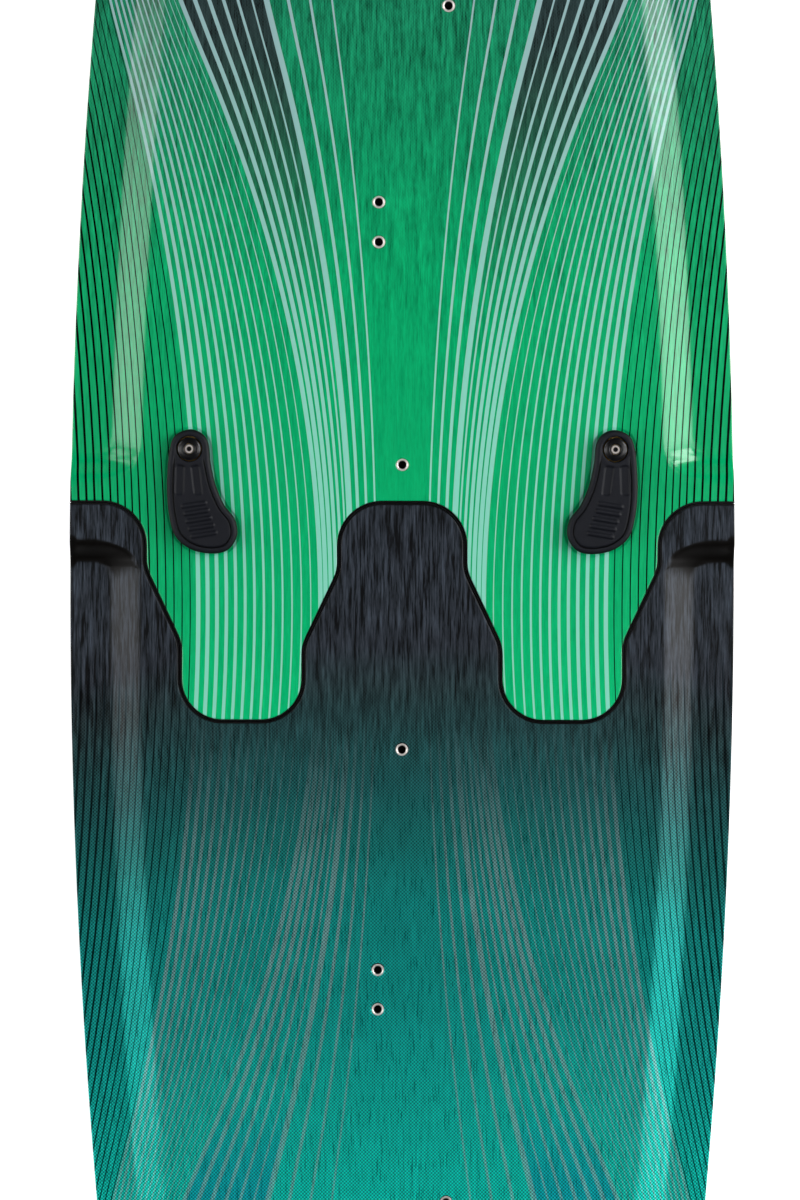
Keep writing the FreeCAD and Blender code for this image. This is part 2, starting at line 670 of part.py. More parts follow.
def tail_half():
    upper = tail_side(JOINT_GAP / 2)
    upper_inner = tail_side(JOINT_GAP / 2 + EDGE_STRIP)
    lower = shelf_side(0.0)
    open_shelf = lower.common(outline_face(RAIL_STRIP)).cut(upper)
    plate = Part.makeCompound([prism(face, LAP_Z - LAP_PLATE, LAP_Z) for face in open_shelf.Faces])
    pieces = half_pieces("tail", -1, TAIL_RAMP, upper, upper_inner, lower, LAP_Z, plate)
    screws = []
    for side_name, sign in SIDES:
        hollow = at_lock(track_block(), sign, 0.0)
        side_screws = [at_lock(screw, sign, 0.0) for screw in track_screws()]
        for layer_name in ("tail_core", "tail_lap_plate"):
            pieces[layer_name] = pieces[layer_name].cut([hollow] + side_screws)
        pieces[side_name + "_slot_track"] = at_lock(slot_track(), sign, 0.0)
        screws += side_screws
    pieces["slot_track_screws"] = Part.makeCompound(screws)
    return pieces


def lock_pieces():
    pieces = {}
    makers = (("lever", lever_arm), ("lever_hub", lever_hub), ("lever_cap", lever_cap),
              ("lever_retaining_ring", retaining_ring), ("clamp_bolt", clamp_bolt))
    for piece_name, maker in makers:
        made = maker()
        for side_name, sign in SIDES:
            pieces[side_name + "_" + piece_name] = at_lock(made, sign)
    return pieces


def main():
    os.makedirs("parts", exist_ok=True)
    pieces = {}
    pieces.update(nose_half())
    pieces.update(tail_half())
    pieces.update(lock_pieces())
    for name in sorted(pieces):
        shape = pieces[name]
        solids = shape.Solids
        sound = all(solid.isValid() and solid.isClosed() for solid in solids)
        state = "sound" if sound else "UNSOUND"
        print(name, len(solids), "solid(s)", round(shape.Volume / CUBIC_CM, 2), "cm3", state)
        if len(solids) == 1:
            shape = solids[0]
        shape.exportStep(os.path.join("parts", name + ".step"))


main()
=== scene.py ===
"""Looks of the split kiteboard: printed decks, moulded levers, fins, and the studio around them.

The board is worked out in millimetres with the same driving sizes as its CAD model, and every mesh is
written in metres in the CAD's frame: X across the board, +Y towards the nose, +Z up, ground at Z = 0.
"""

import math

import bpy
import numpy as np
from mathutils import Euler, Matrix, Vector
from mathutils.geometry import delaunay_2d_cdt


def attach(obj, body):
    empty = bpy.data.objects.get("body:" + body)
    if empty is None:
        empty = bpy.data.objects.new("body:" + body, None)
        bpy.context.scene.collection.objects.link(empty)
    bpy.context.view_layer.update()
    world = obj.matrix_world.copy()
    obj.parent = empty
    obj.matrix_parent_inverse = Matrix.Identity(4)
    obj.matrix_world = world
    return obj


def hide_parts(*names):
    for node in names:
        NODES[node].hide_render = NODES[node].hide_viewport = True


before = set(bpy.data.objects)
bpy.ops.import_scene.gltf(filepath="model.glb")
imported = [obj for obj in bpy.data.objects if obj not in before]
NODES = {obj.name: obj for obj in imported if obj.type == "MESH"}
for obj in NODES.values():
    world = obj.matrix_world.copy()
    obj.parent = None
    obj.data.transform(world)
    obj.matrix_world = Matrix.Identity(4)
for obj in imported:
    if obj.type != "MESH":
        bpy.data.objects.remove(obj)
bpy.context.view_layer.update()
MM = 0.001

# ---- board shape, in millimetres ----
LENGTH = 1380.0
WIDTH = 420.0
SIDE_RADIUS = 4300.0
TIP_RADIUS = 600.0
TIP_CORNER_RADIUS = 70.0
FLAT_HALF = 155.0
ROCKER = 38.0
ROCKER_RADIUS = (LENGTH / 2 - FLAT_HALF) ** 2 / (2 * ROCKER)
BASE_Z = 20.0
CENTRE_THICKNESS = 17.0
TIP_THICKNESS = 9.0
TAPER_START = 250.0
RAIL_THICKNESS = 8.5
RAIL_TIP_THICKNESS = 7.5
BEVEL_OUTER = 27.0
BEVEL_INNER = 43.0
BEVEL_WIDTH = BEVEL_INNER - BEVEL_OUTER
DECK_SKIN = 1.2
BASE_SKIN = 1.0
DECK_EDGE = 0.6             # rounding of the deck's upper edges
NOSE_RAMP = (80.0, 95.0)    # Y where the rail is at full height, and where it is thin
TAIL_RAMP = (42.0, 29.0)
RAMP_CORNER = 1.7           # plan rounding where the ramp meets the bevel, in bevel widths
BEVEL_EASE = 0.13           # rounding of the bevel's two edges, in bevel widths
JOINT_INSET = 1.25          # half the joint gap and the edge strip
PEAK_Y = 66.0
TONGUE_Y = -72.3
BIG_FILLET = 27.0
SLIGHT_FILLET = 25.0
WAVE = (
    (39.8, PEAK_Y, BIG_FILLET), (39.8, 23.0, SLIGHT_FILLET), (62.2, -24.3, SLIGHT_FILLET),
    (62.2, TONGUE_Y, BIG_FILLET), (140.3, TONGUE_Y, BIG_FILLET), (140.3, -22.4, SLIGHT_FILLET),
    (162.4, 25.0, SLIGHT_FILLET), (162.4, PEAK_Y, BIG_FILLET),
)
SHELF_SIDE_Y = 74.0
SHELF_END_Y = 125.0
SHELF_HALF_WIDTH = 158.0
SHELF_SIDE_FILLET = 10.0
SHELF_FILLET = 16.0
SHELF_GAP = 0.4
DECK_Z = BASE_Z + CENTRE_THICKNESS
FAR = 900.0

# ---- levers, inserts and fins, in millimetres ----
LOCK_X = 134.0
LOCK_Y = 100.0
LEVER_Z = 37.35
LEVER_TOP_Z = 44.35
DISH_DEPTH = 0.7
DISH_MARGIN = 1.6
SEAT_FLANGE_RADIUS = 10.0
LEVER_OUTLINE = (
    (0.0, 12.2), (-8.8, 8.6), (-12.4, 0.0), (-13.8, -14.0), (-14.1, -28.0), (-12.6, -43.0),
    (-8.6, -55.5), (1.0, -63.3), (14.0, -66.0), (24.3, -63.6), (29.9, -55.0), (28.6, -44.4),
    (21.8, -35.2), (16.4, -22.5), (13.4, -9.0), (11.9, 3.6), (7.6, 9.8),
)
CAP_RADIUS = 7.25
CAP_RING_RADIUS = 8.0
CAP_RECESS = 1.15
CAP_HEIGHT = 2.0
CAP_HOLE_RADIUS = 3.4
INSERT_RADIUS = 3.9
INSERT_BORE_RADIUS = 2.5
THREAD_PITCH = 0.8
HANDLE_INSERT_Y = 90.0
PAD_INSERTS = ((-15.0, 230.0), (-15.0, 255.0), (28.5, 377.5), (28.5, 402.5))
FIN_X = 108.0
FIN_SCREW_Y = (568.0, 624.0)
COUNTERBORE_RADIUS = 6.6


# ---- curves along the board ----
def half_width(y):
    return WIDTH / 2 - SIDE_RADIUS + np.sqrt(SIDE_RADIUS ** 2 - y ** 2)


def base_z(y):
    return BASE_Z + np.maximum(0.0, np.abs(y) - FLAT_HALF) ** 2 / (2 * ROCKER_RADIUS)


def taper(y):
    part = np.clip((np.abs(y) - TAPER_START) / (LENGTH / 2 - TAPER_START), 0, 1)
    return part * part * (3 - 2 * part)


def eased(t, ease=BEVEL_EASE):
    """0 below 0, 1 above 1 and a straight slope between, with both corners rounded off."""
    low = np.where(t < -ease, 0.0, np.where(t < ease, (t + ease) ** 2 / (4 * ease), t))
    past = t - 1
    over = np.where(past < -ease, 0.0, np.where(past < ease, (past + ease) ** 2 / (4 * ease), past))
    return low - over


def deck_height(x, y, ramp):
    """Height of the deck: a raised centre, a sloping bevel, a thin rail, and a ramp near the joint."""
    centre = CENTRE_THICKNESS + (TIP_THICKNESS - CENTRE_THICKNESS) * taper(y)
    rail = RAIL_THICKNESS + (RAIL_TIP_THICKNESS - RAIL_THICKNESS) * taper(y)
    across = (BEVEL_INNER - (half_width(y) - np.abs(x))) / BEVEL_WIDTH
    along = (y - ramp[0]) / (ramp[1] - ramp[0])
    along = np.where((along > 0) & (along < 1), along * along * (3 - 2 * along), along)
    corner = RAMP_CORNER - np.hypot(np.maximum(RAMP_CORNER - across, 0), np.maximum(RAMP_CORNER - along, 0))
    into = corner + np.maximum(np.minimum(across, along) - RAMP_CORNER, 0)
    return base_z(y) + centre - (centre - rail) * eased(into)


# ---- plan outlines as closed counter-clockwise loops of points ----
def rounded_path(corners, step=2.2):
    """Points along a path of (x, y, fillet radius) corners, whose first and last corners are its ends."""
    spots = [Vector(corner[:2]) for corner in corners]
    points = [spots[0]]
    for i in range(1, len(corners) - 1):
        before = (spots[i] - spots[i - 1]).normalized()
        after = (spots[i + 1] - spots[i]).normalized()
        radius = corners[i][2]
        turn = math.atan2(before.x * after.y - before.y * after.x, before.dot(after))
        reach = radius * math.tan(abs(turn) / 2)
        side = Vector((-before.y, before.x)) * math.copysign(1, turn)
        centre = spots[i] - before * reach + side * radius
        pieces = max(1, math.ceil(radius * abs(turn) / step))
        for j in range(pieces + 1):
            angle = turn * j / pieces
            away = -side * radius
            points.append(centre + Vector((away.x * math.cos(angle) - away.y * math.sin(angle),
                                           away.x * math.sin(angle) + away.y * math.cos(angle))))
    points.append(spots[-1])
    return divided([(p.x, p.y) for p in points], step * 1.6)


def divided(points, longest):
    """The same line with its long straight parts divided."""
    made = [points[0]]
    for (x0, y0), (x1, y1) in zip(points, points[1:]):
        pieces = max(1, math.ceil(math.hypot(x1 - x0, y1 - y0) / longest))
        made += [(x0 + (x1 - x0) * j / pieces, y0 + (y1 - y0) * j / pieces) for j in range(1, pieces + 1)]
    return made


def arc_points(centre, radius, start, end, step):
    pieces = max(2, math.ceil(radius * abs(end - start) / step))
    angles = [start + (end - start) * j / pieces for j in range(pieces + 1)]
    return [(centre[0] + radius * math.cos(a), centre[1] + radius * math.sin(a)) for a in angles]


def tip_path(from_y):
    """The board's edge from the right side at from_y round the +Y tip to the left side."""
    side_centre = (WIDTH / 2 - SIDE_RADIUS, 0.0)
    tip_centre = (0.0, LENGTH / 2 - TIP_RADIUS)
    to_side = SIDE_RADIUS - TIP_CORNER_RADIUS
    to_tip = TIP_RADIUS - TIP_CORNER_RADIUS
    gap = Vector((tip_centre[0] - side_centre[0], tip_centre[1] - side_centre[1]))
    along = (to_side ** 2 - to_tip ** 2 + gap.length_squared) / (2 * gap.length)
    across = math.sqrt(to_side ** 2 - along ** 2)
    heading = gap.normalized()
    corner = Vector(side_centre) + heading * along + Vector((-heading.y, heading.x)) * across
    side_angle = math.atan2(corner.y - side_centre[1], corner.x - side_centre[0])
    tip_angle = math.atan2(corner.y - tip_centre[1], corner.x - tip_centre[0])
    right = arc_points(side_centre, SIDE_RADIUS, math.asin(from_y / SIDE_RADIUS), side_angle, 6.0)
    right += arc_points(corner, TIP_CORNER_RADIUS, side_angle, tip_angle, 3.0)[1:]
    right += arc_points(tip_centre, TIP_RADIUS, tip_angle, math.pi / 2, 5.0)[1:]
    return right + [(-x, y) for x, y in reversed(right[:-1])]


def nose_loop(path):
    """Closed loop between a joint path, given from left to right, and the nose tip."""
    return path + tip_path(path[-1][1])[1:-1]


def moved(loop, distance):
    """A closed loop moved inwards by distance, mitred at its corners."""
    at = np.array(loop)
    before = at - np.roll(at, 1, axis=0)
    after = np.roll(at, -1, axis=0) - at
    before /= np.linalg.norm(before, axis=1)[:, None]
    after /= np.linalg.norm(after, axis=1)[:, None]
    inward = np.stack([-before[:, 1] - after[:, 1], before[:, 0] + after[:, 0]], axis=1)
    inward /= (1 + (before * after).sum(axis=1))[:, None]
    return [tuple(p) for p in at + inward * distance]


def wave_path(sign):
    """The joint's wave from left to right, moved into the nose (sign 1) or the tail (sign -1)."""
    left = tuple((-x, y, r) for x, y, r in reversed(WAVE))
    path = rounded_path(((-WIDTH, PEAK_Y, 0),) + left + WAVE + ((WIDTH, PEAK_Y, 0),))
    at = np.array(path)
    heading = np.gradient(at, axis=0)
    heading /= np.linalg.norm(heading, axis=1)[:, None]
    at += np.stack([-heading[:, 1], heading[:, 0]], axis=1) * sign * JOINT_INSET
    edge = float(half_width(at[0][1]))
    inside = [tuple(p) for p in at if abs(p[0]) < edge - 1.0]
    return [(-edge, at[0][1])] + inside + [(edge, at[-1][1])]


def shelf_path(gap):
    """Front of the tail's lower layer, from left to right, grown by gap."""
    side_y = SHELF_SIDE_Y + gap
    end_y = SHELF_END_Y + gap
    wide = SHELF_HALF_WIDTH + gap
    edge = float(half_width(side_y))
    path = ((-edge, side_y, 0), (-wide, side_y, SHELF_SIDE_FILLET), (-wide, end_y, SHELF_FILLET),
            (wide, end_y, SHELF_FILLET), (wide, side_y, SHELF_SIDE_FILLET), (edge, side_y, 0))
    return rounded_path(path)


def turned_over(loop):
    """Mirrors a loop in Y and keeps it counter-clockwise."""
    return [(x, -y) for x, y in reversed(loop)]


def circle(x, y, radius, count=48):
    angles = [2 * math.pi * i / count for i in range(count)]
    return [(x + radius * math.cos(a), y + radius * math.sin(a)) for a in angles]


def smooth_loop(points, per_span):
    """Closed Catmull-Rom curve through the points."""
    count = len(points)
    made = []
    for i in range(count):
        p0, p1, p2, p3 = (Vector(points[(i + k) % count]) for k in (-1, 0, 1, 2))
        for j in range(per_span):
            t = j / per_span
            made.append(0.5 * (2 * p1 + (p2 - p0) * t + (2 * p0 - 5 * p1 + 4 * p2 - p3) * t ** 2
                               + (3 * p1 - p0 - 3 * p2 + p3) * t ** 3))
    return [(p.x, p.y) for p in made]


# ---- distances and inside tests in plan, for arrays of points ----
BATCH = 2000                # points measured at a time, to spare memory


def loop_distance(points, loop):
    """Distance of each point from a closed loop."""
    a = np.array(loop)
    b = np.roll(a, -1, axis=0)
    span = b - a
    nearest = np.full(len(points), 1e9)
    for start in range(0, len(points), BATCH):
        part = points[start:start + BATCH]
        away = part[:, None, :] - a[None]
        t = np.clip((away * span).sum(axis=2) / (span ** 2).sum(axis=1), 0, 1)
        gap = away - t[..., None] * span
        nearest[start:start + BATCH] = np.sqrt((gap ** 2).sum(axis=2)).min(axis=1)
    return nearest


def inside_loop(points, loop):
    a = np.array(loop)
    b = np.roll(a, -1, axis=0)
    x, y = points[:, 0][:, None], points[:, 1][:, None]
    crosses = (a[:, 1] > y) != (b[:, 1] > y)
    rise = np.where(b[:, 1] == a[:, 1], 1.0, b[:, 1] - a[:, 1])
    at_x = a[:, 0] + (y - a[:, 1]) / rise * (b[:, 0] - a[:, 0])
    return (crosses & (x < at_x)).sum(axis=1) % 2 == 1


def inward_distance(points, loop):
    """Distance inside a loop, negative outside it."""
    return np.where(inside_loop(points, loop), 1, -1) * loop_distance(points, loop)


# ---- mesh building ----
def new_object(name, vertices, faces, material, sharp=50.0):
    mesh = bpy.data.meshes.new(name)
    mesh.from_pydata([tuple(np.array(v) * MM) for v in vertices], [], faces)
    mesh.validate()
    mesh.shade_smooth()
    mesh.set_sharp_from_angle(angle=math.radians(sharp))
    mesh.materials.append(material)
    made = bpy.data.objects.new(name, mesh)
    bpy.context.scene.collection.objects.link(made)
    return made


def slab(name, loop, holes, guides, fill, top, bottom, material, edge=DECK_EDGE):
    """Closed thin solid over a plan region, with its upper edges rounded.

    loop and holes are its outer and inner boundaries, guides are more loops that mesh edges follow, and
    fill is an array of points to mesh through. top and bottom give heights from arrays of x and y.
    """
    rounding = [edge * part for part in (0.0, 0.15, 0.5, 1.0, 1.5, 4.0)]
    bounds = [(loop, 1)] + [(hole, -1) for hole in holes]
    rings = [[moved(ring, inset * side) for inset in rounding] for ring, side in bounds]
    lines = [ring for group in rings for ring in group] + list(guides)
    keep = inward_distance(fill, loop) > edge * 5
    for hole in holes:
        keep &= inward_distance(fill, hole) < -edge * 5
    for guide in guides:
        keep &= loop_distance(fill, guide) > 0.35
    points, edges = [], []
    for line in lines:
        first = len(points)
        points += line
        edges += [(first + i, first + (i + 1) % len(line)) for i in range(len(line))]
    points += [tuple(p) for p in fill[keep]]
    made = delaunay_2d_cdt([Vector(p) for p in points], edges, [], 0, 1e-5)
    at = np.array([(p.x, p.y) for p in made[0]])
    triangles = np.array(made[2])
    middles = at[triangles].mean(axis=1)
    solid = inside_loop(middles, loop)
    for hole in holes:
        solid &= ~inside_loop(middles, hole)
    triangles = triangles[solid]
    nearest = np.minimum.reduce([loop_distance(at, ring) for ring, side in bounds])
    short = np.clip(edge - nearest, 0, edge)
    drop = edge - np.sqrt(edge ** 2 - short ** 2)
    high = top(at[:, 0], at[:, 1]) - drop
    low = bottom(at[:, 0], at[:, 1])
    count = len(at)
    vertices = np.concatenate([np.column_stack([at, high]), np.column_stack([at, low])])
    faces = [tuple(t) for t in triangles] + [tuple(t[::-1] + count) for t in triangles]
    owners = {}
    for a, b, c in triangles:
        for pair in ((a, b), (b, c), (c, a)):
            owners[pair] = True
    rim = [pair for pair in owners if (pair[1], pair[0]) not in owners]
    faces += [(b, a, a + count, b + count) for a, b in rim]
    used = sorted({i for face in faces for i in face})
    index = {old: new for new, old in enumerate(used)}
    faces = [tuple(index[i] for i in face) for face in faces]
    return new_object(name, vertices[used], faces, material)


def lathe(name, profile, x, y, material, count=64):
    """Closed ring of revolution about a vertical axis, from (radius, z) points of its section."""
    vertices, faces = [], []
    for radius, z in profile:
        vertices += [(px, py, z) for px, py in circle(x, y, radius, count)]
    rows = len(profile)
    for row in range(rows):
        for i in range(count):
            j = (i + 1) % count
            below, above = row * count, (row + 1) % rows * count
            faces.append((below + i, below + j, above + j, above + i))
    return new_object(name, vertices, faces, material, 35.0)


# ---- shader helpers ----
class Field:
    """A number that varies over the surface, written as ordinary arithmetic and made of Math nodes."""

    def __init__(self, tree, socket):
        self.tree = tree
        self.socket = socket

    def _math(self, operation, *others, clamp=False):
        node = self.tree.nodes.new("ShaderNodeMath")
        node.operation = operation
        node.use_clamp = clamp
        for i, value in enumerate((self,) + others):
            if isinstance(value, Field):
                self.tree.links.new(value.socket, node.inputs[i])
            else:
                node.inputs[i].default_value = value
        return Field(self.tree, node.outputs[0])

    def __add__(self, other):
        return self._math("ADD", other)

    def __sub__(self, other):
        return self._math("SUBTRACT", other)

    def __mul__(self, other):
        return self._math("MULTIPLY", other)

    def __truediv__(self, other):
        return self._math("DIVIDE", other)

    __radd__ = __add__
    __rmul__ = __mul__

    def __rsub__(self, other):
        return self * -1.0 + other

    def size(self):
        return self._math("ABSOLUTE")

    def nearest(self, low, high):
        """The nearest whole number, kept from low to high."""
        return self._math("ROUND")._math("MAXIMUM", low)._math("MINIMUM", high)

    def between(self, low, high):
        return self._math("MAXIMUM", low)._math("MINIMUM", high)

    def share(self, start, end):
        """0 at start, 1 at end, clamped."""
        slope = 1.0 / (end - start)
        return self._math("MULTIPLY_ADD", slope, -start * slope, clamp=True)

    def soft_share(self, start, end):
        t = self.share(start, end)
        return t * t * (3.0 - 2.0 * t)

    def or_more(self, other):
        return self._math("MAXIMUM", other)

    def wave(self):
        return self._math("SINE")


class Paint:
    """A material under construction: a Principled shader and the fields and colours that feed it."""

    def __init__(self, name, roughness=0.4, metallic=0.0, coat=0.0, coat_roughness=0.1, specular=0.5):
        self.material = bpy.data.materials.new(name)
        self.material.use_nodes = True
        self.tree = self.material.node_tree
        self.shader = self.tree.nodes["Principled BSDF"]
        settings = (("Roughness", roughness), ("Metallic", metallic), ("Coat Weight", coat),
                    ("Coat Roughness", coat_roughness), ("Specular IOR Level", specular))
        for socket, value in settings:
            self.shader.inputs[socket].default_value = value
        where = self.tree.nodes.new("ShaderNodeTexCoord")
        self.place = where.outputs["Object"]
        split = self.tree.nodes.new("ShaderNodeSeparateXYZ")
        self.tree.links.new(self.place, split.inputs[0])
        self.x, self.y, self.z = (Field(self.tree, split.outputs[i]) * (1 / MM) for i in range(3))

    def facing(self, axis):
        """How far the surface faces along X, Y or Z, from -1 to 1."""
        geometry = self.tree.nodes.new("ShaderNodeNewGeometry")
        turned = self.tree.nodes.new("ShaderNodeVectorTransform")
        turned.vector_type = "NORMAL"
        turned.convert_from, turned.convert_to = "WORLD", "OBJECT"
        self.tree.links.new(geometry.outputs["Normal"], turned.inputs[0])
        split = self.tree.nodes.new("ShaderNodeSeparateXYZ")
        self.tree.links.new(turned.outputs[0], split.inputs[0])
        return Field(self.tree, split.outputs["XYZ".index(axis)])

    def noise(self, per_mm, detail=3.0, rough=0.55, offset=0.0):
        """Noise from 0 to 1 with this many features per mm along X, Y and Z."""
        mapping = self.tree.nodes.new("ShaderNodeMapping")
        mapping.inputs["Scale"].default_value = [value / MM for value in per_mm]
        mapping.inputs["Location"].default_value = (offset, offset, offset)
        self.tree.links.new(self.place, mapping.inputs["Vector"])
        node = self.tree.nodes.new("ShaderNodeTexNoise")
        node.inputs["Scale"].default_value = 1.0
        node.inputs["Detail"].default_value = detail
        node.inputs["Roughness"].default_value = rough
        self.tree.links.new(mapping.outputs[0], node.inputs["Vector"])
        return Field(self.tree, node.outputs[0])

    def ramp(self, field, stops, low, high):
        """Colour of a field through (value, sRGB colour) stops between low and high."""
        node = self.tree.nodes.new("ShaderNodeValToRGB")
        marks = node.color_ramp.elements
        while len(marks) < len(stops):
            marks.new(0.5)
        ordered = sorted(((value - low) / (high - low), colour) for value, colour in stops)
        for mark, (at, colour) in zip(marks, ordered):
            mark.position = at
            mark.color = linear(colour)
        self.tree.links.new(field.share(low, high).socket, node.inputs[0])
        return node.outputs[0]

    def mixed(self, first, second, share):
        """Two colours mixed. A colour is an output socket or an sRGB triple."""
        node = self.tree.nodes.new("ShaderNodeMix")
        node.data_type = "RGBA"
        for socket, value in ((node.inputs[6], first), (node.inputs[7], second)):
            if isinstance(value, tuple):
                socket.default_value = linear(value)
            else:
                self.tree.links.new(value, socket)
        self.tree.links.new(share.socket, node.inputs[0])
        return node.outputs[2]

    def brightened(self, colour, factor):
        """A colour multiplied by a field. The colour is an output socket or an sRGB triple."""
        node = self.tree.nodes.new("ShaderNodeVectorMath")
        node.operation = "SCALE"
        if isinstance(colour, tuple):
            node.inputs[0].default_value = linear(colour)[:3]
        else:
            self.tree.links.new(colour, node.inputs[0])
        self.tree.links.new(factor.socket, node.inputs["Scale"])
        return node.outputs[0]

    def colour(self, value):
        self.link("Base Color", value)

    def link(self, socket, value):
        source = value.socket if isinstance(value, Field) else value
        self.tree.links.new(source, self.shader.inputs[socket])

    def bump(self, field, depth_mm):
        """Raises the surface by a field from 0 to 1, up to this depth."""
        node = self.tree.nodes.new("ShaderNodeBump")
        node.inputs["Distance"].default_value = depth_mm * MM
        self.tree.links.new(field.socket, node.inputs["Height"])
        self.tree.links.new(node.outputs[0], self.shader.inputs["Normal"])


def linear(colour):
    """Scene colour of an sRGB colour given as 0 to 255."""
    parts = [part / 255.0 for part in colour]
    return [p / 12.92 if p <= 0.04045 else ((p + 0.055) / 1.055) ** 2.4 for p in parts] + [1.0]


# ---- deck print ----
STRIPE_EDGE = 0.16          # softness of a printed edge, in mm
WEAVE = 2.85                # radians per mm of the fine printed weave
STRIPE_BEND_Y = 345.0       # past this the lines spread less and less, so that they never cross
STRIPE_EASING = 0.78
EVEN_OUTER = (128.6, 3.85e-4)       # printed lines: X in the board's middle, and its growth with Y squared
EVEN_INNER = (57.6, 6.0e-4)
BUNCH_FIRST = (51.5, 6.15e-4)
BUNCH_MIDDLE = (32.0, 3.75e-4)
BUNCH_LAST = (16.5, 1.96e-4)
RAIL_PITCH = (5.1, -1.0e-5)
EVEN_GAPS = 12.0
BUNCH_GAPS = 6.0
THIN_GAPS = 3.0
RAIL_LINES = 17.0
BEVEL_STRETCH = 0.133       # how much longer the bevel's slope is than its plan
NOSE_SPAN = (-100.0, 700.0)         # Y over which each colour ramp runs
TAIL_SPAN = (-700.0, 40.0)
TAIL_PALE_SPAN = (-700.0, -100.0)
NOSE_STOPS = (
    (-80.0, (0, 188, 115)), (0.0, (0, 176, 108)), (90.0, (0, 170, 104)), (200.0, (0, 163, 101)),
    (255.0, (4, 151, 96)), (305.0, (11, 137, 91)), (380.0, (21, 125, 88)), (690.0, (16, 90, 71)),
)
NOSE_PALE_STOPS = (
    (-80.0, (136, 220, 196)), (120.0, (140, 215, 195)), (380.0, (152, 186, 188)), (690.0, (134, 166, 170)),
)
NOSE_BAND = (38, 48, 52)
NOSE_RAIL_LINE = (3, 10, 8)
TAIL_STOPS = (
    (20.0, (37, 42, 49)), (-25.0, (38, 43, 50)), (-51.0, (36, 53, 56)), (-76.0, (32, 65, 67)),
    (-114.0, (27, 88, 88)), (-152.0, (22, 114, 109)), (-190.0, (18, 143, 136)),
    (-266.0, (17, 171, 161)), (-370.0, (17, 212, 193)), (-690.0, (12, 228, 205)),
)
TAIL_PALE_STOPS = (
    (-120.0, (138, 142, 148)), (-260.0, (140, 168, 170)), (-370.0, (138, 196, 192)),
    (-690.0, (130, 200, 200)),
)
TAIL_BAND = (10, 138, 176)
TAIL_RAIL_LINE = (8, 18, 22)
# dark of the ramp that faces the tail: partly its bare dark laminate, partly painted shade for the dark room
# it reflects
TAIL_RAMP_BLACK_AND_SHADE = (9, 8, 7)
TAIL_LAG = 25.0             # how far the tail's shading lags behind at the rails


def line_spread(y):
    """Y squared, which sets how far the printed lines have spread, growing more slowly near the tips."""
    near = y.size().between(0.0, STRIPE_BEND_Y)
    past = (y.size() - STRIPE_BEND_Y).between(0.0, LENGTH)
    return near * near + past * (2 * STRIPE_BEND_Y) - past * past * STRIPE_EASING


def printed(half_line, distance):
    """1 on a printed line, 0 off it, from half its width and the distance from its middle, in mm."""
    return ((half_line - distance) / STRIPE_EDGE + 0.5).between(0.0, 1.0)


def spread_line(line, square):
    """X of a printed line from its (X in the middle, growth)."""
    return line[0] + line[1] * square


def light_lines(x, square):
    """Pale lines that spread from the middle of the board: an even outer family and a bunched inner one."""
    outer = spread_line(EVEN_OUTER, square)
    pitch = (outer - spread_line(EVEN_INNER, square)) / EVEN_GAPS
    place = (outer - x) / pitch
    line = place.nearest(0.0, EVEN_GAPS)
    even = printed((0.45 - 0.0283 * line) * 0.5 * pitch, (place - line).size() * pitch)

    first, middle, last = (spread_line(line, square) for line in (BUNCH_FIRST, BUNCH_MIDDLE, BUNCH_LAST))
    pitch = (first - middle) / BUNCH_GAPS
    place = (first - x) / pitch
    line = place.nearest(0.0, BUNCH_GAPS - 1.0)
    bunched = printed(1.42 - 0.01 * line - 0.0325 * line * line, (place - line).size() * pitch)

    wide = printed(1.8, (x - middle).size())
    pitch = (middle - last) / THIN_GAPS
    place = (middle - x) / pitch
    line = place.nearest(1.0, THIN_GAPS)
    thin = printed(1.2 - 0.215 * line, (place - line).size() * pitch)
    inner_lines = bunched.or_more(wide).or_more(thin)
    band = printed((first - middle) * 0.5, (x - (first + middle) * 0.5).size())
    return even, inner_lines, band


def rail_lines(x, y, square):
    """Dark lines along the rails, evenly spaced over the bevel's surface."""
    edge = WIDTH / 2 - y * y / (2 * SIDE_RADIUS)
    over_bevel = (x - edge + BEVEL_INNER).between(0.0, BEVEL_WIDTH)
    along = x + over_bevel * BEVEL_STRETCH - spread_line(EVEN_OUTER, square)
    pitch = spread_line(RAIL_PITCH, square)
    place = along / pitch
    line = place.nearest(1.0, RAIL_LINES)
    return printed(0.28 + 0.033 * line, (place - line).size() * pitch)


def checker(paint):
    """Fine diagonal weave from -1 to 1."""
    return (paint.x * WEAVE).wave() * (paint.y * WEAVE).wave()


def nose_print():
    """Green print that darkens towards the tip, with pale and dark lines over a faint wood grain."""
    paint = Paint("nose_print", roughness=0.2, specular=0.68)
    x = paint.x.size()
    y = paint.y
    square = line_spread(y)
    base = paint.ramp(y, NOSE_STOPS, *NOSE_SPAN)
    streaks = paint.noise((0.45, 0.03, 0.2), 4.0, 0.65)
    grain = paint.noise((1.3, 0.12, 0.5), 3.0, 0.6, 7.0)
    depth = y.size().share(100.0, 380.0)
    weave = checker(paint) * y.soft_share(150.0, 380.0)
    shade = 1.0 + (streaks - 0.5) * (0.5 + 2.4 * depth) + (grain - 0.5) * (0.6 + 1.5 * depth) + 0.14 * weave
    even, inner, band = light_lines(x, square)
    fade = y.soft_share(150.0, 370.0)
    base = paint.mixed(base, NOSE_BAND, band * fade * 0.96)
    base = paint.brightened(base, shade)
    pale = paint.ramp(y, NOSE_PALE_STOPS, *NOSE_SPAN)
    base = paint.mixed(base, pale, even.or_more(inner) * 0.97)
    rails = rail_lines(x, y, square) * (1.0 - 0.4 * y.soft_share(230.0, 400.0))
    base = paint.mixed(base, NOSE_RAIL_LINE, rails * 0.95)
    paint.colour(base)
    paint.link("Metallic", 0.8 * rails)
    paint.link("Roughness", 0.17 + 0.1 * streaks)
    paint.bump(grain, 0.012)
    return paint.material


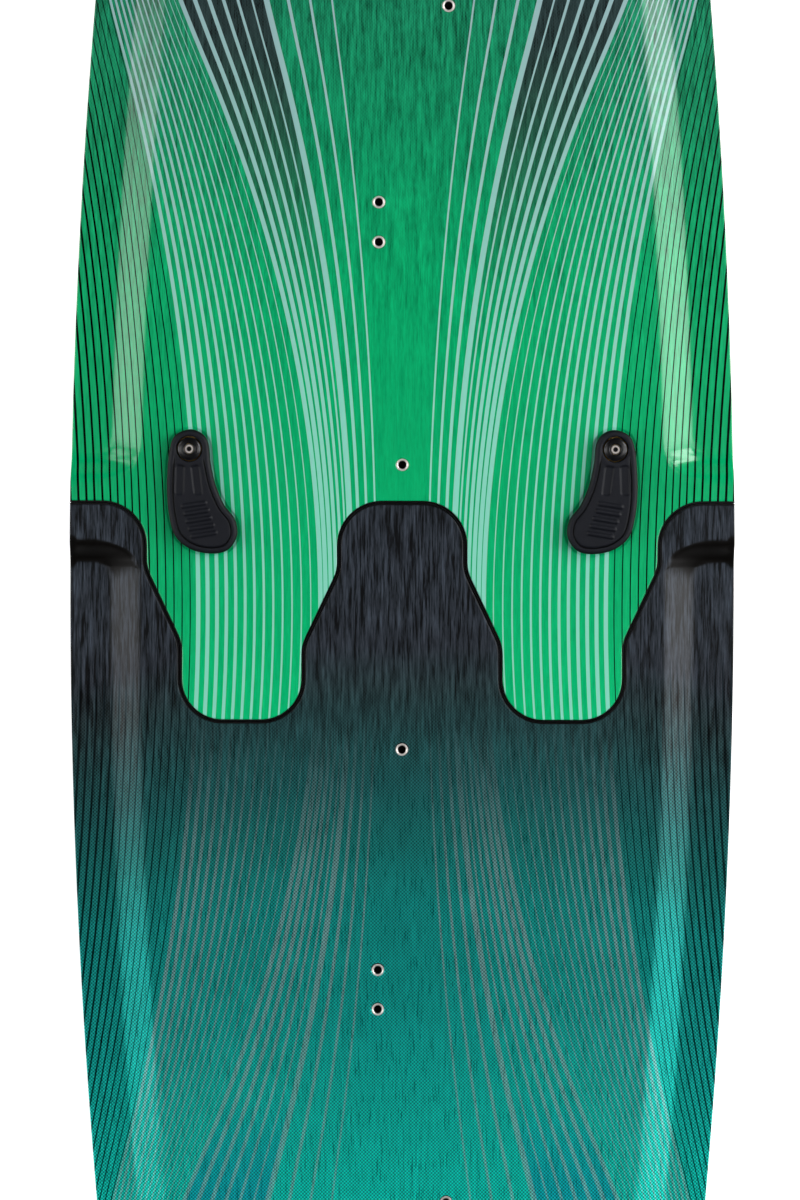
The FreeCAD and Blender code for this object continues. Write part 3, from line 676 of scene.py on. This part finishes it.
def tail_print():
    """Charcoal wood grain that turns to pearl teal towards the tail tip, with a fine printed weave."""
    paint = Paint("tail_print", roughness=0.3, specular=0.22)
    x = paint.x.size()
    y = paint.y
    square = line_spread(y)
    lag = x.share(60.0, 200.0)
    place = y + TAIL_LAG * lag * lag
    base = paint.ramp(place, TAIL_STOPS, *TAIL_SPAN)
    long_grain = paint.noise((0.5, 0.03, 0.2), 5.0, 0.7)
    short_grain = paint.noise((0.9, 0.06, 0.4), 3.0, 0.65, 11.0)
    wood = place.share(-120.0, 0.0)
    shade = 1.0 + (long_grain - 0.5) * (0.8 + 6.6 * wood) + (short_grain - 0.5) * (0.8 + 5.4 * wood)
    shade = shade + checker(paint) * y.soft_share(-20.0, -120.0) * 0.85
    even, inner, band = light_lines(x, square)
    base = paint.mixed(base, TAIL_BAND, band * y.soft_share(-295.0, -385.0) * 0.55)
    clear = y.soft_share(-62.0, -220.0) * 0.6
    pale = paint.ramp(y, TAIL_PALE_STOPS, *TAIL_PALE_SPAN)
    base = paint.mixed(base, pale, even.or_more(inner) * clear)
    rails = rail_lines(x, y, square) * y.soft_share(-20.0, -60.0)
    base = paint.mixed(base, TAIL_RAIL_LINE, rails * 0.78)
    base = paint.brightened(base, shade.between(0.1, 3.0))
    # painted shade: surfaces facing the tail, chiefly the ramp, are darkened by their facing, over the ramp's
    # own dark laminate
    base = paint.mixed(base, TAIL_RAMP_BLACK_AND_SHADE, paint.facing("Y").soft_share(-0.03, -0.16))
    paint.colour(base)
    paint.link("Metallic", (0.02 + 0.5 * y.share(-20.0, -230.0) + 0.5 * rails).between(0.0, 1.0))
    paint.link("Roughness", 0.22 + 0.14 * short_grain + 0.03 * wood)
    paint.bump(long_grain, 0.03)
    return paint.material


# ---- other materials ----
THREADS = 4.2               # radians per mm of the laminate's crossing threads
PEBBLE_TONE = 0.24          # how much the fine pebbles vary a plastic's tone
BLOTCH_LIGHTER = 5          # how much paler its broad blotches are, in sRGB steps
BLOTCH_ROUGHER = 0.12       # how much rougher the blotches are


def plastic(name, colour, roughness, pebble, per_mm=2.0, specular=0.5, painted_side_shade=False):
    """Moulded plastic or rubber: fine pebbled texture, faint blotches of tone, perhaps painted shade on its
    steep sides.
    """
    paint = Paint(name, roughness=roughness, specular=specular)
    fine = paint.noise((per_mm,) * 3, 2.0, 0.6)
    broad = paint.noise((0.04,) * 3, 3.0, 0.5, 3.0)
    source = paint.mixed(colour, tuple(part + BLOTCH_LIGHTER for part in colour), broad)
    source = paint.brightened(source, 1.0 + (fine - 0.5) * PEBBLE_TONE)
    if painted_side_shade:
        # painted shade: steep sides, where the surface turns away from straight up, are darkened towards
        # black
        source = paint.mixed(source, (1, 1, 2), paint.facing("Z").soft_share(0.93, 0.6))
    paint.colour(source)
    paint.link("Roughness", roughness - 0.05 + BLOTCH_ROUGHER * broad)
    paint.bump(fine, pebble)
    return paint.material


def steel(name, colour, roughness, brushed=(0.2, 6.0, 6.0), metallic=0.7):
    """Brushed metal, with scratches along X unless told otherwise."""
    paint = Paint(name, roughness=roughness, metallic=metallic)
    scratches = paint.noise(brushed, 2.0, 0.7)
    paint.colour(paint.brightened(colour, 0.8 + 0.4 * scratches))
    paint.link("Roughness", roughness - 0.06 + 0.16 * scratches)
    paint.bump(scratches, 0.01)
    return paint.material


def socket_steel(name, place, socket, head):
    """Turned steel with painted shade: a dark socket and a dark rim round the head.

    place gives fields for X and Y from the middle of the nearest screw. socket and head are the radii over
    which the socket's painted shade ends and the rim's painted shade begins.
    """
    paint = Paint(name, roughness=0.35, metallic=0.5)
    x, y = place(paint.x, paint.y)
    turned = paint.noise((1.5, 1.5, 1.5), 2.0, 0.6)
    away = x * x + y * y
    bright = paint.brightened(paint.mixed((176, 168, 162), (224, 216, 208), turned), 0.7 + 0.5 * turned)
    # painted shade round the head's edge and in the gap beyond it
    bright = paint.mixed(bright, (34, 30, 29), away.soft_share(head[0] ** 2, head[1] ** 2))
    # painted shade in the socket, standing for the dark of its hollow
    paint.colour(paint.mixed(bright, (12, 11, 11), away.soft_share(socket[1] ** 2, socket[0] ** 2)))
    paint.link("Roughness", 0.3 + 0.15 * turned)
    return paint.material


def from_lock(x, y):
    return x.size() - LOCK_X, y - LOCK_Y


def from_fin_screw(x, y):
    front, back = FIN_SCREW_Y
    return x.size() - FIN_X, (y.size() - (front + back) / 2).size() - (back - front) / 2


def wood(name):
    paint = Paint(name, roughness=0.6)
    rings = paint.noise((0.35, 0.012, 0.5), 4.0, 0.6)
    fibres = paint.noise((3.0, 0.1, 3.0), 2.0, 0.6, 5.0)
    base = paint.mixed((196, 160, 112), (224, 194, 148), rings)
    paint.colour(paint.brightened(base, 0.85 + 0.3 * fibres))
    paint.bump(fibres, 0.03)
    return paint.material


def laminate(name, first, second):
    """Glass and resin sheet: crossing threads under a clear coat."""
    paint = Paint(name, roughness=0.35, coat=0.3, coat_roughness=0.15)
    broad = paint.noise((0.02, 0.006, 0.02), 3.0, 0.6)
    base = paint.mixed(first, second, broad)
    threads = ((paint.x * THREADS).wave() * (paint.y * THREADS).wave()) * 0.5 + 0.5
    paint.colour(paint.brightened(base, 0.9 + 0.2 * threads))
    paint.bump(threads, 0.015)
    return paint.material


def base_print(name, first, second):
    """Underside: the deck's own hues in broad, plain lengthwise shading with a fine grain."""
    paint = Paint(name, roughness=0.25, coat=0.4, coat_roughness=0.08)
    grain = paint.noise((0.6, 0.02, 0.3), 4.0, 0.6)
    base = paint.mixed(first, second, paint.y.size().soft_share(40.0, 560.0))
    paint.colour(paint.brightened(base, 0.8 + 0.4 * grain))
    paint.link("Roughness", 0.2 + 0.1 * grain)
    paint.bump(grain, 0.02)
    return paint.material


# ---- deck and base pieces ----
ROW_STEP = 7.0
RAMP_ROW_STEP = 1.5
NOSE_RAMP_ROWS = (74.0, 100.0)      # Y between which the rows are close together
TAIL_RAMP_ROWS = (25.0, 48.0)
EDGE_DEPTHS = (             # from the board's edge inwards, close together over the bevel
    5.0, 11.0, 17.0, 22.0, 24.5, 26.0, 27.0, 28.0, 29.5, 31.5, 34.0, 36.5, 39.0, 41.0, 42.2, 43.2, 44.2, 46.0,
    49.0, 54.0,
)
MIDDLE_REACH = 155.0
MIDDLE_STEP = 8.0
MIDDLE_MARGIN = 60.0
BASE_STEP = 14.0


def deck_fill(nose):
    """Points to mesh the deck through: rows across the board, closer over the bevels and the ramp."""
    rows = np.arange(-LENGTH / 2, LENGTH / 2, ROW_STEP)
    dense = np.arange(*(NOSE_RAMP_ROWS if nose else TAIL_RAMP_ROWS), RAMP_ROW_STEP)
    keep = (rows < dense[0] - 1.0) | (rows > dense[-1] + 1.0)
    rows = np.concatenate([rows[keep], dense])
    middle = np.arange(0.0, MIDDLE_REACH, MIDDLE_STEP)
    points = []
    for y in rows:
        wide = float(half_width(y))
        across = np.concatenate([wide - np.array(EDGE_DEPTHS), middle[middle < wide - MIDDLE_MARGIN]])
        points += [(x, y) for x in across] + [(-x, y) for x in across if x > 0]
    return np.array(points)


def grid_fill(step):
    xs = np.arange(-WIDTH / 2, WIDTH / 2, step)
    ys = np.arange(-LENGTH / 2, LENGTH / 2, step)
    return np.array([(x, y) for x in xs for y in ys])


def lever_loop(sign, margin=0.0):
    """Outline of the left (-1) or right (1) lever in the board's plan, grown by margin."""
    loop = moved(smooth_loop(LEVER_OUTLINE, 8), -margin)
    loop = [(LOCK_X + -x if sign > 0 else x - LOCK_X, y + LOCK_Y) for x, y in loop]
    return loop[::-1] if sign > 0 else loop


def deck(name, ramp, loop, direction, material):
    nose = direction > 0
    holes = [circle(x, direction * y, INSERT_RADIUS) for x, y in ((0.0, HANDLE_INSERT_Y),) + PAD_INSERTS]
    for sign in (-1, 1):
        holes += [circle(sign * FIN_X, direction * y, COUNTERBORE_RADIUS) for y in FIN_SCREW_Y]
    guides = []
    dishes = []
    if nose:
        for sign in (-1, 1):
            holes.append(circle(sign * LOCK_X, LOCK_Y, SEAT_FLANGE_RADIUS, 72))
            margins = (DISH_MARGIN + 0.25, DISH_MARGIN, DISH_MARGIN - DISH_DEPTH, 0.4)
            guides += [lever_loop(sign, margin) for margin in margins]
            dishes.append(lever_loop(sign, DISH_MARGIN))

    def top(x, y):
        height = deck_height(x, y, ramp)
        at = np.column_stack([x, y])
        for dish in dishes:
            height = height - np.clip(inward_distance(at, dish), 0, DISH_DEPTH)
        return height

    def bottom(x, y):
        return deck_height(x, y, ramp) - DECK_SKIN

    return slab(name, loop, holes, guides, deck_fill(nose), top, bottom, material)


def base(name, loop, material):
    def top(x, y):
        return -base_z(y)

    def bottom(x, y):
        return -base_z(y) - BASE_SKIN

    made = slab(name, turned_over(loop), [], [], grid_fill(BASE_STEP), top, bottom, material)
    for vertex in made.data.vertices:
        vertex.co.y *= -1
        vertex.co.z *= -1
    return made


# ---- levers, about their pivot ----
RIM_RADIUS = 2.4
RIM_INSETS = (0.25, 0.7, 1.3, 1.9, 2.6, 3.3, 4.0, 4.7)      # where mesh edges follow the rim
LEVER_MESH_STEP = 0.5
LEVER_EDGE = 0.05
PANEL_INSET = 3.4
PANEL_SLOPE = 0.6
PANEL_DEPTH = 0.5
GROOVE_INSET = 4.0
GROOVE_HALF_WIDTH = 0.75
GROOVE_DEPTH = 0.6
FLUTES = ((-6.0, -0.03), (4.6, 0.12))                       # X and lean of each flute
FLUTE_TURN_Y = -19.0
FLUTE_Y = -19.5
FLUTE_HALF_LENGTH = 7.5
FLUTE_CORE = 0.9
FLUTE_REACH = 2.2
FLUTE_SLOPE = 0.9
FLUTE_DEPTH = 0.8
RIBS = 5
RIB_Y = -35.0
RIB_PITCH = 4.7
RIB_X = 3.0
RIB_SHIFT = 1.55            # how far each rib moves along with the lever's bend
RIB_HALF_LENGTH = 6.6
RIB_GROWTH = 0.1
RIB_LEAN = 0.16
RIB_REACH = 1.7
RIB_SLOPE = 0.9
RIB_HEIGHT = 0.95
BOSS_RADIUS = 12.0          # round the cap, where the relief is kept shallow
BOSS_SLOPE = 1.5
BOSS_RELIEF = 0.4
COLLAR_WIDTH = 0.5
COLLAR_DROP = 0.5
CAP_DOME = (                # radius, and drop below the cap's top
    (CAP_RADIUS, 1.15), (CAP_RADIUS - 0.25, 0.8), (CAP_RADIUS - 0.9, 0.45), (5.2, 0.14), (4.2, 0.03),
    (3.8, 0.05), (3.5, 0.25), (CAP_HOLE_RADIUS, 0.5),
)


def lever_height(at, outline):
    """Height of the lever's upper face: a rounded rim, a contour groove, two flutes and grip ribs."""
    x, y = at[:, 0], at[:, 1]
    depth = inward_distance(at, outline)
    height = np.full(len(at), LEVER_TOP_Z)
    edge = np.clip(RIM_RADIUS - depth, 0, RIM_RADIUS)
    height -= RIM_RADIUS - np.sqrt(np.maximum(RIM_RADIUS ** 2 - edge ** 2, 0))
    panel = np.clip((depth - PANEL_INSET) / PANEL_SLOPE, 0, 1)
    height -= PANEL_DEPTH * panel
    groove = np.clip(1 - np.abs(depth - GROOVE_INSET) / GROOVE_HALF_WIDTH, 0, 1)
    height -= GROOVE_DEPTH * groove
    for flute_x, lean in FLUTES:
        centre = flute_x - (y - FLUTE_TURN_Y) * lean
        reach = np.maximum(np.abs(x - centre) - FLUTE_CORE, 0)
        ends = np.maximum(np.abs(y - FLUTE_Y) - FLUTE_HALF_LENGTH, 0)
        height -= FLUTE_DEPTH * np.clip((FLUTE_REACH - np.hypot(reach, ends)) / FLUTE_SLOPE, 0, 1)
    for rib in range(RIBS):
        rib_y = RIB_Y - RIB_PITCH * rib
        middle = RIB_X + RIB_SHIFT * rib
        past_end = np.maximum(np.abs(x - middle) - (RIB_HALF_LENGTH + RIB_GROWTH * rib), 0)
        away = np.hypot(past_end, y - rib_y - RIB_LEAN * (x - middle))
        height += RIB_HEIGHT * np.clip((RIB_REACH - away) / RIB_SLOPE, 0, 1)
    from_pivot = np.hypot(x, y)
    collar = np.clip((from_pivot - CAP_RING_RADIUS) / COLLAR_WIDTH, 0, 1)
    boss = np.clip((BOSS_RADIUS - from_pivot) / BOSS_SLOPE, 0, 1)
    shallow = LEVER_TOP_Z - (LEVER_TOP_Z - height) * BOSS_RELIEF
    height = height * (1 - boss) + shallow * boss
    return height - (1 - collar) * COLLAR_DROP


def lever(sign, material):
    """One lever arm, shaped about its pivot, then put in its place."""
    outline = smooth_loop(LEVER_OUTLINE, 8)
    xs, ys = np.arange(-15.0, 31.0, LEVER_MESH_STEP), np.arange(-67.0, 14.0, LEVER_MESH_STEP)
    fill = np.array([(x, y) for x in xs for y in ys])
    guides = [moved(outline, inset) for inset in RIM_INSETS]

    def top(x, y):
        return lever_height(np.column_stack([x, y]), outline)

    def bottom(x, y):
        return np.full(len(x), LEVER_Z)

    name = ("right" if sign > 0 else "left") + "_lever_arm"
    hole = circle(0, 0, CAP_RING_RADIUS, 72)
    made = slab(name, outline, [hole], guides, fill, top, bottom, material, LEVER_EDGE)
    place_lock_piece(made, sign)
    return made


def place_lock_piece(made, sign):
    """Moves a piece made about the left pivot to its place, mirrored for the right side."""
    for vertex in made.data.vertices:
        vertex.co.x = -sign * vertex.co.x + sign * LOCK_X * MM
        vertex.co.y += LOCK_Y * MM
    if sign > 0:
        made.data.flip_normals()


def lever_cap(sign, material):
    """Domed cap in the lever's ring groove, open in the middle for the clamp bolt."""
    top = LEVER_TOP_Z - CAP_RECESS + CAP_HEIGHT
    low = LEVER_TOP_Z - CAP_RECESS
    profile = [(CAP_HOLE_RADIUS, low), (CAP_RADIUS, low)]
    profile += [(radius, top - drop) for radius, drop in CAP_DOME]
    name = ("right" if sign > 0 else "left") + "_cap_dome"
    made = lathe(name, profile, 0, 0, material)
    place_lock_piece(made, sign)
    return made


# ---- threaded inserts ----
INSERT_DEPTH = 7.6
BORE_DEPTH = 6.8
BORE_END_INSET = 0.1
COUNTERSINK_DEPTH = 0.7
THREAD_START = 0.9
THREAD_TURNS = 7
THREAD_DEPTH = 0.3
AXIS_RADIUS = 0.02          # a lathe section may not touch its axis
INSERT_LIP = ((0.0, 0.25), (0.12, 0.07), (0.4, 0.0), (0.75, 0.04), (1.05, 0.25))    # inset and drop


def insert_profile(top):
    """Section of an insert: a rounded lip, a countersink and a threaded blind bore."""
    outer = [(AXIS_RADIUS, top - INSERT_DEPTH), (INSERT_RADIUS, top - INSERT_DEPTH)]
    outer += [(INSERT_RADIUS - inset, top - drop) for inset, drop in INSERT_LIP]
    outer.append((INSERT_BORE_RADIUS, top - COUNTERSINK_DEPTH))
    thread = []
    for turn in range(THREAD_TURNS):
        z = top - THREAD_START - THREAD_PITCH * turn
        thread += [(INSERT_BORE_RADIUS, z), (INSERT_BORE_RADIUS - THREAD_DEPTH, z - THREAD_PITCH / 2)]
    floor_z = top - BORE_DEPTH
    return outer + thread + [(INSERT_BORE_RADIUS - BORE_END_INSET, floor_z), (AXIS_RADIUS, floor_z)]


def insert_steel():
    """Bright turned steel, with painted shade that darkens it down the bore."""
    paint = Paint("insert_steel", roughness=0.3, metallic=0.55)
    turned = paint.noise((3.0, 3.0, 8.0), 2.0, 0.6)
    past_flat = paint.y.size() - FLAT_HALF
    rise = past_flat.between(0.0, FAR) * past_flat.between(0.0, FAR) * (1 / (2 * ROCKER_RADIUS))
    thinning = paint.y.size().soft_share(TAPER_START, LENGTH / 2) * (CENTRE_THICKNESS - TIP_THICKNESS)
    below = rise - thinning + DECK_Z - paint.z
    bright = paint.brightened(paint.mixed((232, 222, 214), (250, 246, 242), turned), 0.85 + 0.3 * turned)
    # painted shade: darker the deeper below the deck's top surface
    paint.colour(paint.mixed(bright, (16, 13, 12), below.soft_share(0.2, 0.9)))
    paint.link("Roughness", 0.22 + 0.2 * turned)
    return paint.material


def inserts(half, direction, material):
    """The handle insert, and the four pad inserts, each made as a piece of its own."""
    for part, places in (("handle", ((0.0, HANDLE_INSERT_Y),)), ("pad", PAD_INSERTS)):
        made = []
        for i, (x, y) in enumerate(places):
            top = float(base_z(y) + CENTRE_THICKNESS + (TIP_THICKNESS - CENTRE_THICKNESS) * taper(y))
            name = half + "_" + part + "_thread_" + str(i)
            made.append(lathe(name, insert_profile(top), x, direction * y, material, 32))
            add(made[-1], half + "_half", "stainless_steel")
        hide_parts(half + "_handle_insert" if part == "handle" else half + "_pad_inserts")


# ---- studio ----
VIEW_DISTANCE = 3.0
VIEW_HEIGHT = 0.7572        # length of board that fills the frame
VIEW_LEAN = 0.052           # how far the camera leans back towards the nose, in radians
VIEW_ROLL = math.radians(0.095)
VIEW_AIM = (-0.00158, 0.00474)
SENSOR = 36.0
LAMP_ELEVATION = math.radians(34.0)
LAMP_AIM_X = 0.17           # where on the board's side each lamp points
FLOOR_RADIUS = 9000.0       # mm
FLOOR_GLOW = 0.75
SKY = 1.25                  # brightness of the room near the horizon, which falls off upwards
END_DIMMING = 0.88          # how much darker the room is beyond the two ends of the board


def camera():
    data = bpy.data.cameras.new("camera")
    data.sensor_width = SENSOR
    data.lens = SENSOR * VIEW_DISTANCE / VIEW_HEIGHT
    made = bpy.data.objects.new("camera", data)
    bpy.context.scene.collection.objects.link(made)
    aim = Vector((VIEW_AIM[0], VIEW_AIM[1], DECK_Z * MM))
    made.location = aim + Vector((0, math.sin(VIEW_LEAN), math.cos(VIEW_LEAN))) * VIEW_DISTANCE
    made.rotation_euler = Euler((-VIEW_LEAN, 0, VIEW_ROLL), "XYZ")
    bpy.context.scene.camera = made


def softbox(name, side, radiance, distance=1.9, wide=0.8, long=3.4, y=0.0, elevation=LAMP_ELEVATION):
    data = bpy.data.lights.new(name, "AREA")
    data.shape = "RECTANGLE"
    data.size = wide
    data.size_y = long
    data.energy = radiance * math.pi * wide * long
    made = bpy.data.objects.new(name, data)
    target = Vector((side * LAMP_AIM_X, y, DECK_Z * MM))
    made.location = target + Vector((side * math.cos(elevation), 0, math.sin(elevation))) * distance
    back = (made.location - target).normalized()
    made.rotation_euler = back.to_track_quat("Z", "Y").to_euler()
    bpy.context.scene.collection.objects.link(made)


def studio():
    world = bpy.data.worlds.new("studio")
    bpy.context.scene.world = world
    world.use_nodes = True
    tree = world.node_tree
    where = tree.nodes.new("ShaderNodeTexCoord")
    split = tree.nodes.new("ShaderNodeSeparateXYZ")
    tree.links.new(where.outputs["Generated"], split.inputs[0])
    ramp = tree.nodes.new("ShaderNodeValToRGB")
    low, high = ramp.color_ramp.elements
    low.position, low.color = 0.2, (SKY, SKY, SKY, 1)
    high.position, high.color = 0.6, (0.0, 0.0, 0.0, 1)
    tree.links.new(split.outputs[2], ramp.inputs[0])
    shade = tree.nodes.new("ShaderNodeVectorMath")
    shade.operation = "SCALE"
    along = Field(tree, split.outputs[1])
    behind = along.share(-0.85, -0.25) * along.share(0.75, 0.35) * END_DIMMING + (1.0 - END_DIMMING)
    tree.links.new(ramp.outputs[0], shade.inputs[0])
    tree.links.new(behind.socket, shade.inputs["Scale"])
    tree.links.new(shade.outputs[0], tree.nodes["Background"].inputs["Color"])
    bpy.context.scene.view_settings.view_transform = "Standard"
    softbox("key", 1, 4.5)
    softbox("fill", -1, 3.2)
    softbox("nose_key", 1, 8.5, distance=1.7, wide=0.6, long=1.2, y=0.86)
    softbox("nose_fill", -1, 2.5, distance=1.7, wide=0.5, long=1.2, y=0.95)


def floor():
    paint = Paint("floor_paint", roughness=0.9, specular=0.1)
    mottle = paint.noise((0.002, 0.002, 0.002), 2.0, 0.5)
    paint.colour(paint.mixed((236, 236, 236), (242, 242, 242), mottle))
    paint.shader.inputs["Emission Color"].default_value = (1, 1, 1, 1)
    paint.shader.inputs["Emission Strength"].default_value = FLOOR_GLOW
    loop = circle(0, 0, FLOOR_RADIUS, 96)
    made = new_object("floor", [(x, y, 0.0) for x, y in loop], [tuple(range(len(loop)))], paint.material)


# ---- assembly ----
BEVEL_SEGMENTS = 3
BEVEL_ANGLE = math.radians(40)
FINE_BEVEL = 0.25           # mm
FIN_BEVEL = 2.2
RAIL_BEVEL = 0.4
METAL_BEVEL = 0.2
RING_BEVEL = 0.1


def finish_cad(node, material, bevel=0.0):
    """Gives a CAD node that stays its material, and takes the hardness off its edges."""
    made = NODES[node]
    made.data.materials.clear()
    made.data.materials.append(material)
    if bevel:
        soft = made.modifiers.new("soft_edges", "BEVEL")
        soft.width = bevel * MM
        soft.segments = BEVEL_SEGMENTS
        soft.limit_method = "ANGLE"
        soft.angle_limit = BEVEL_ANGLE


def add(piece, body, slot, *replaced):
    """Puts a piece on its CAD body, in place of these CAD nodes. slot is not used."""
    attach(piece, body)
    if replaced:
        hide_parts(*replaced)


def board():
    nose_top = nose_loop(wave_path(1))
    tail_top = turned_over(nose_loop([(x, -y) for x, y in wave_path(-1)]))
    add(deck("nose_deck_sheet", NOSE_RAMP, nose_top, 1, nose_print()), "nose_half", "nose_deck_laminate",
        "nose_deck")
    add(deck("tail_deck_sheet", TAIL_RAMP, tail_top, -1, tail_print()), "tail_half", "tail_deck_laminate",
        "tail_deck")
    nose_under = nose_loop(shelf_path(SHELF_GAP))
    tail_under = turned_over(nose_loop([(x, -y) for x, y in shelf_path(0.0)]))
    nose_base = base_print("nose_base_print", (14, 128, 84), (10, 84, 62))
    tail_base = base_print("tail_base_print", (40, 46, 52), (16, 128, 118))
    add(base("nose_base_sheet", nose_under, nose_base), "nose_half", "nose_base_laminate", "nose_base")
    add(base("tail_base_sheet", tail_under, tail_base), "tail_half", "tail_base_laminate", "tail_base")


def levers():
    rubber = plastic("lever_rubber_look", (15, 17, 24), 0.52, 0.02, 2.5, specular=0.2, painted_side_shade=True)
    glossy = plastic("cap_look", (6, 6, 8), 0.25, 0.002, 1.0, specular=0.4)
    for side, sign in (("left", -1), ("right", 1)):
        add(lever(sign, rubber), side + "_lever", "lever_rubber", side + "_lever")
        add(lever_cap(sign, glossy), side + "_lever", "cap_plastic", side + "_lever_cap")


def cad_nodes():
    core = wood("core_wood")
    lap = laminate("lap_sheet", (30, 34, 36), (44, 48, 50))
    strip = plastic("rail_strip", (24, 22, 24), 0.35, 0.02)
    joint = plastic("joint_strip", (3, 3, 4), 0.3, 0.005, specular=0.25)
    fin = plastic("fin_plastic", (22, 24, 27), 0.3, 0.02, 1.2)
    stainless = steel("stainless", (236, 232, 228), 0.28, metallic=0.5)
    bolt = socket_steel("bolt_steel", from_lock, (1.38, 1.7), (2.35, 2.93))
    fin_screw = socket_steel("fin_screw_steel", from_fin_screw, (2.1, 2.4), (4.5, 5.0))
    washer = steel("washer_steel", (150, 148, 146), 0.4)
    track = steel("track_finish", (150, 152, 156), 0.35)
    brass = steel("seat_finish", (196, 164, 96), 0.3, (4.0, 4.0, 4.0))
    for half in ("nose", "tail"):
        finish_cad(half + "_core", core)
        finish_cad(half + "_lap_plate", lap)
        for part in ("tip_rail", "rail_left", "rail_right"):
            finish_cad(half + "_" + part, strip, RAIL_BEVEL)
        finish_cad(half + "_joint_edge", joint, FINE_BEVEL)
        for part in ("fin_left", "fin_right"):
            finish_cad(half + "_" + part, fin, FIN_BEVEL)
        finish_cad(half + "_fin_screws", fin_screw, FINE_BEVEL)
        finish_cad(half + "_fin_washers", washer, FINE_BEVEL)
    for side in ("left", "right"):
        finish_cad(side + "_lever_seat", brass, METAL_BEVEL)
        finish_cad(side + "_lever_hub", brass, METAL_BEVEL)
        finish_cad(side + "_lever_retaining_ring", stainless, RING_BEVEL)
        finish_cad(side + "_clamp_bolt", bolt, METAL_BEVEL)
        finish_cad(side + "_slot_track", track, METAL_BEVEL)
    finish_cad("slot_track_screws", stainless, RING_BEVEL)


camera()
studio()
floor()
board()
levers()
insert_look = insert_steel()
inserts("nose", 1, insert_look)
inserts("tail", -1, insert_look)
cad_nodes()
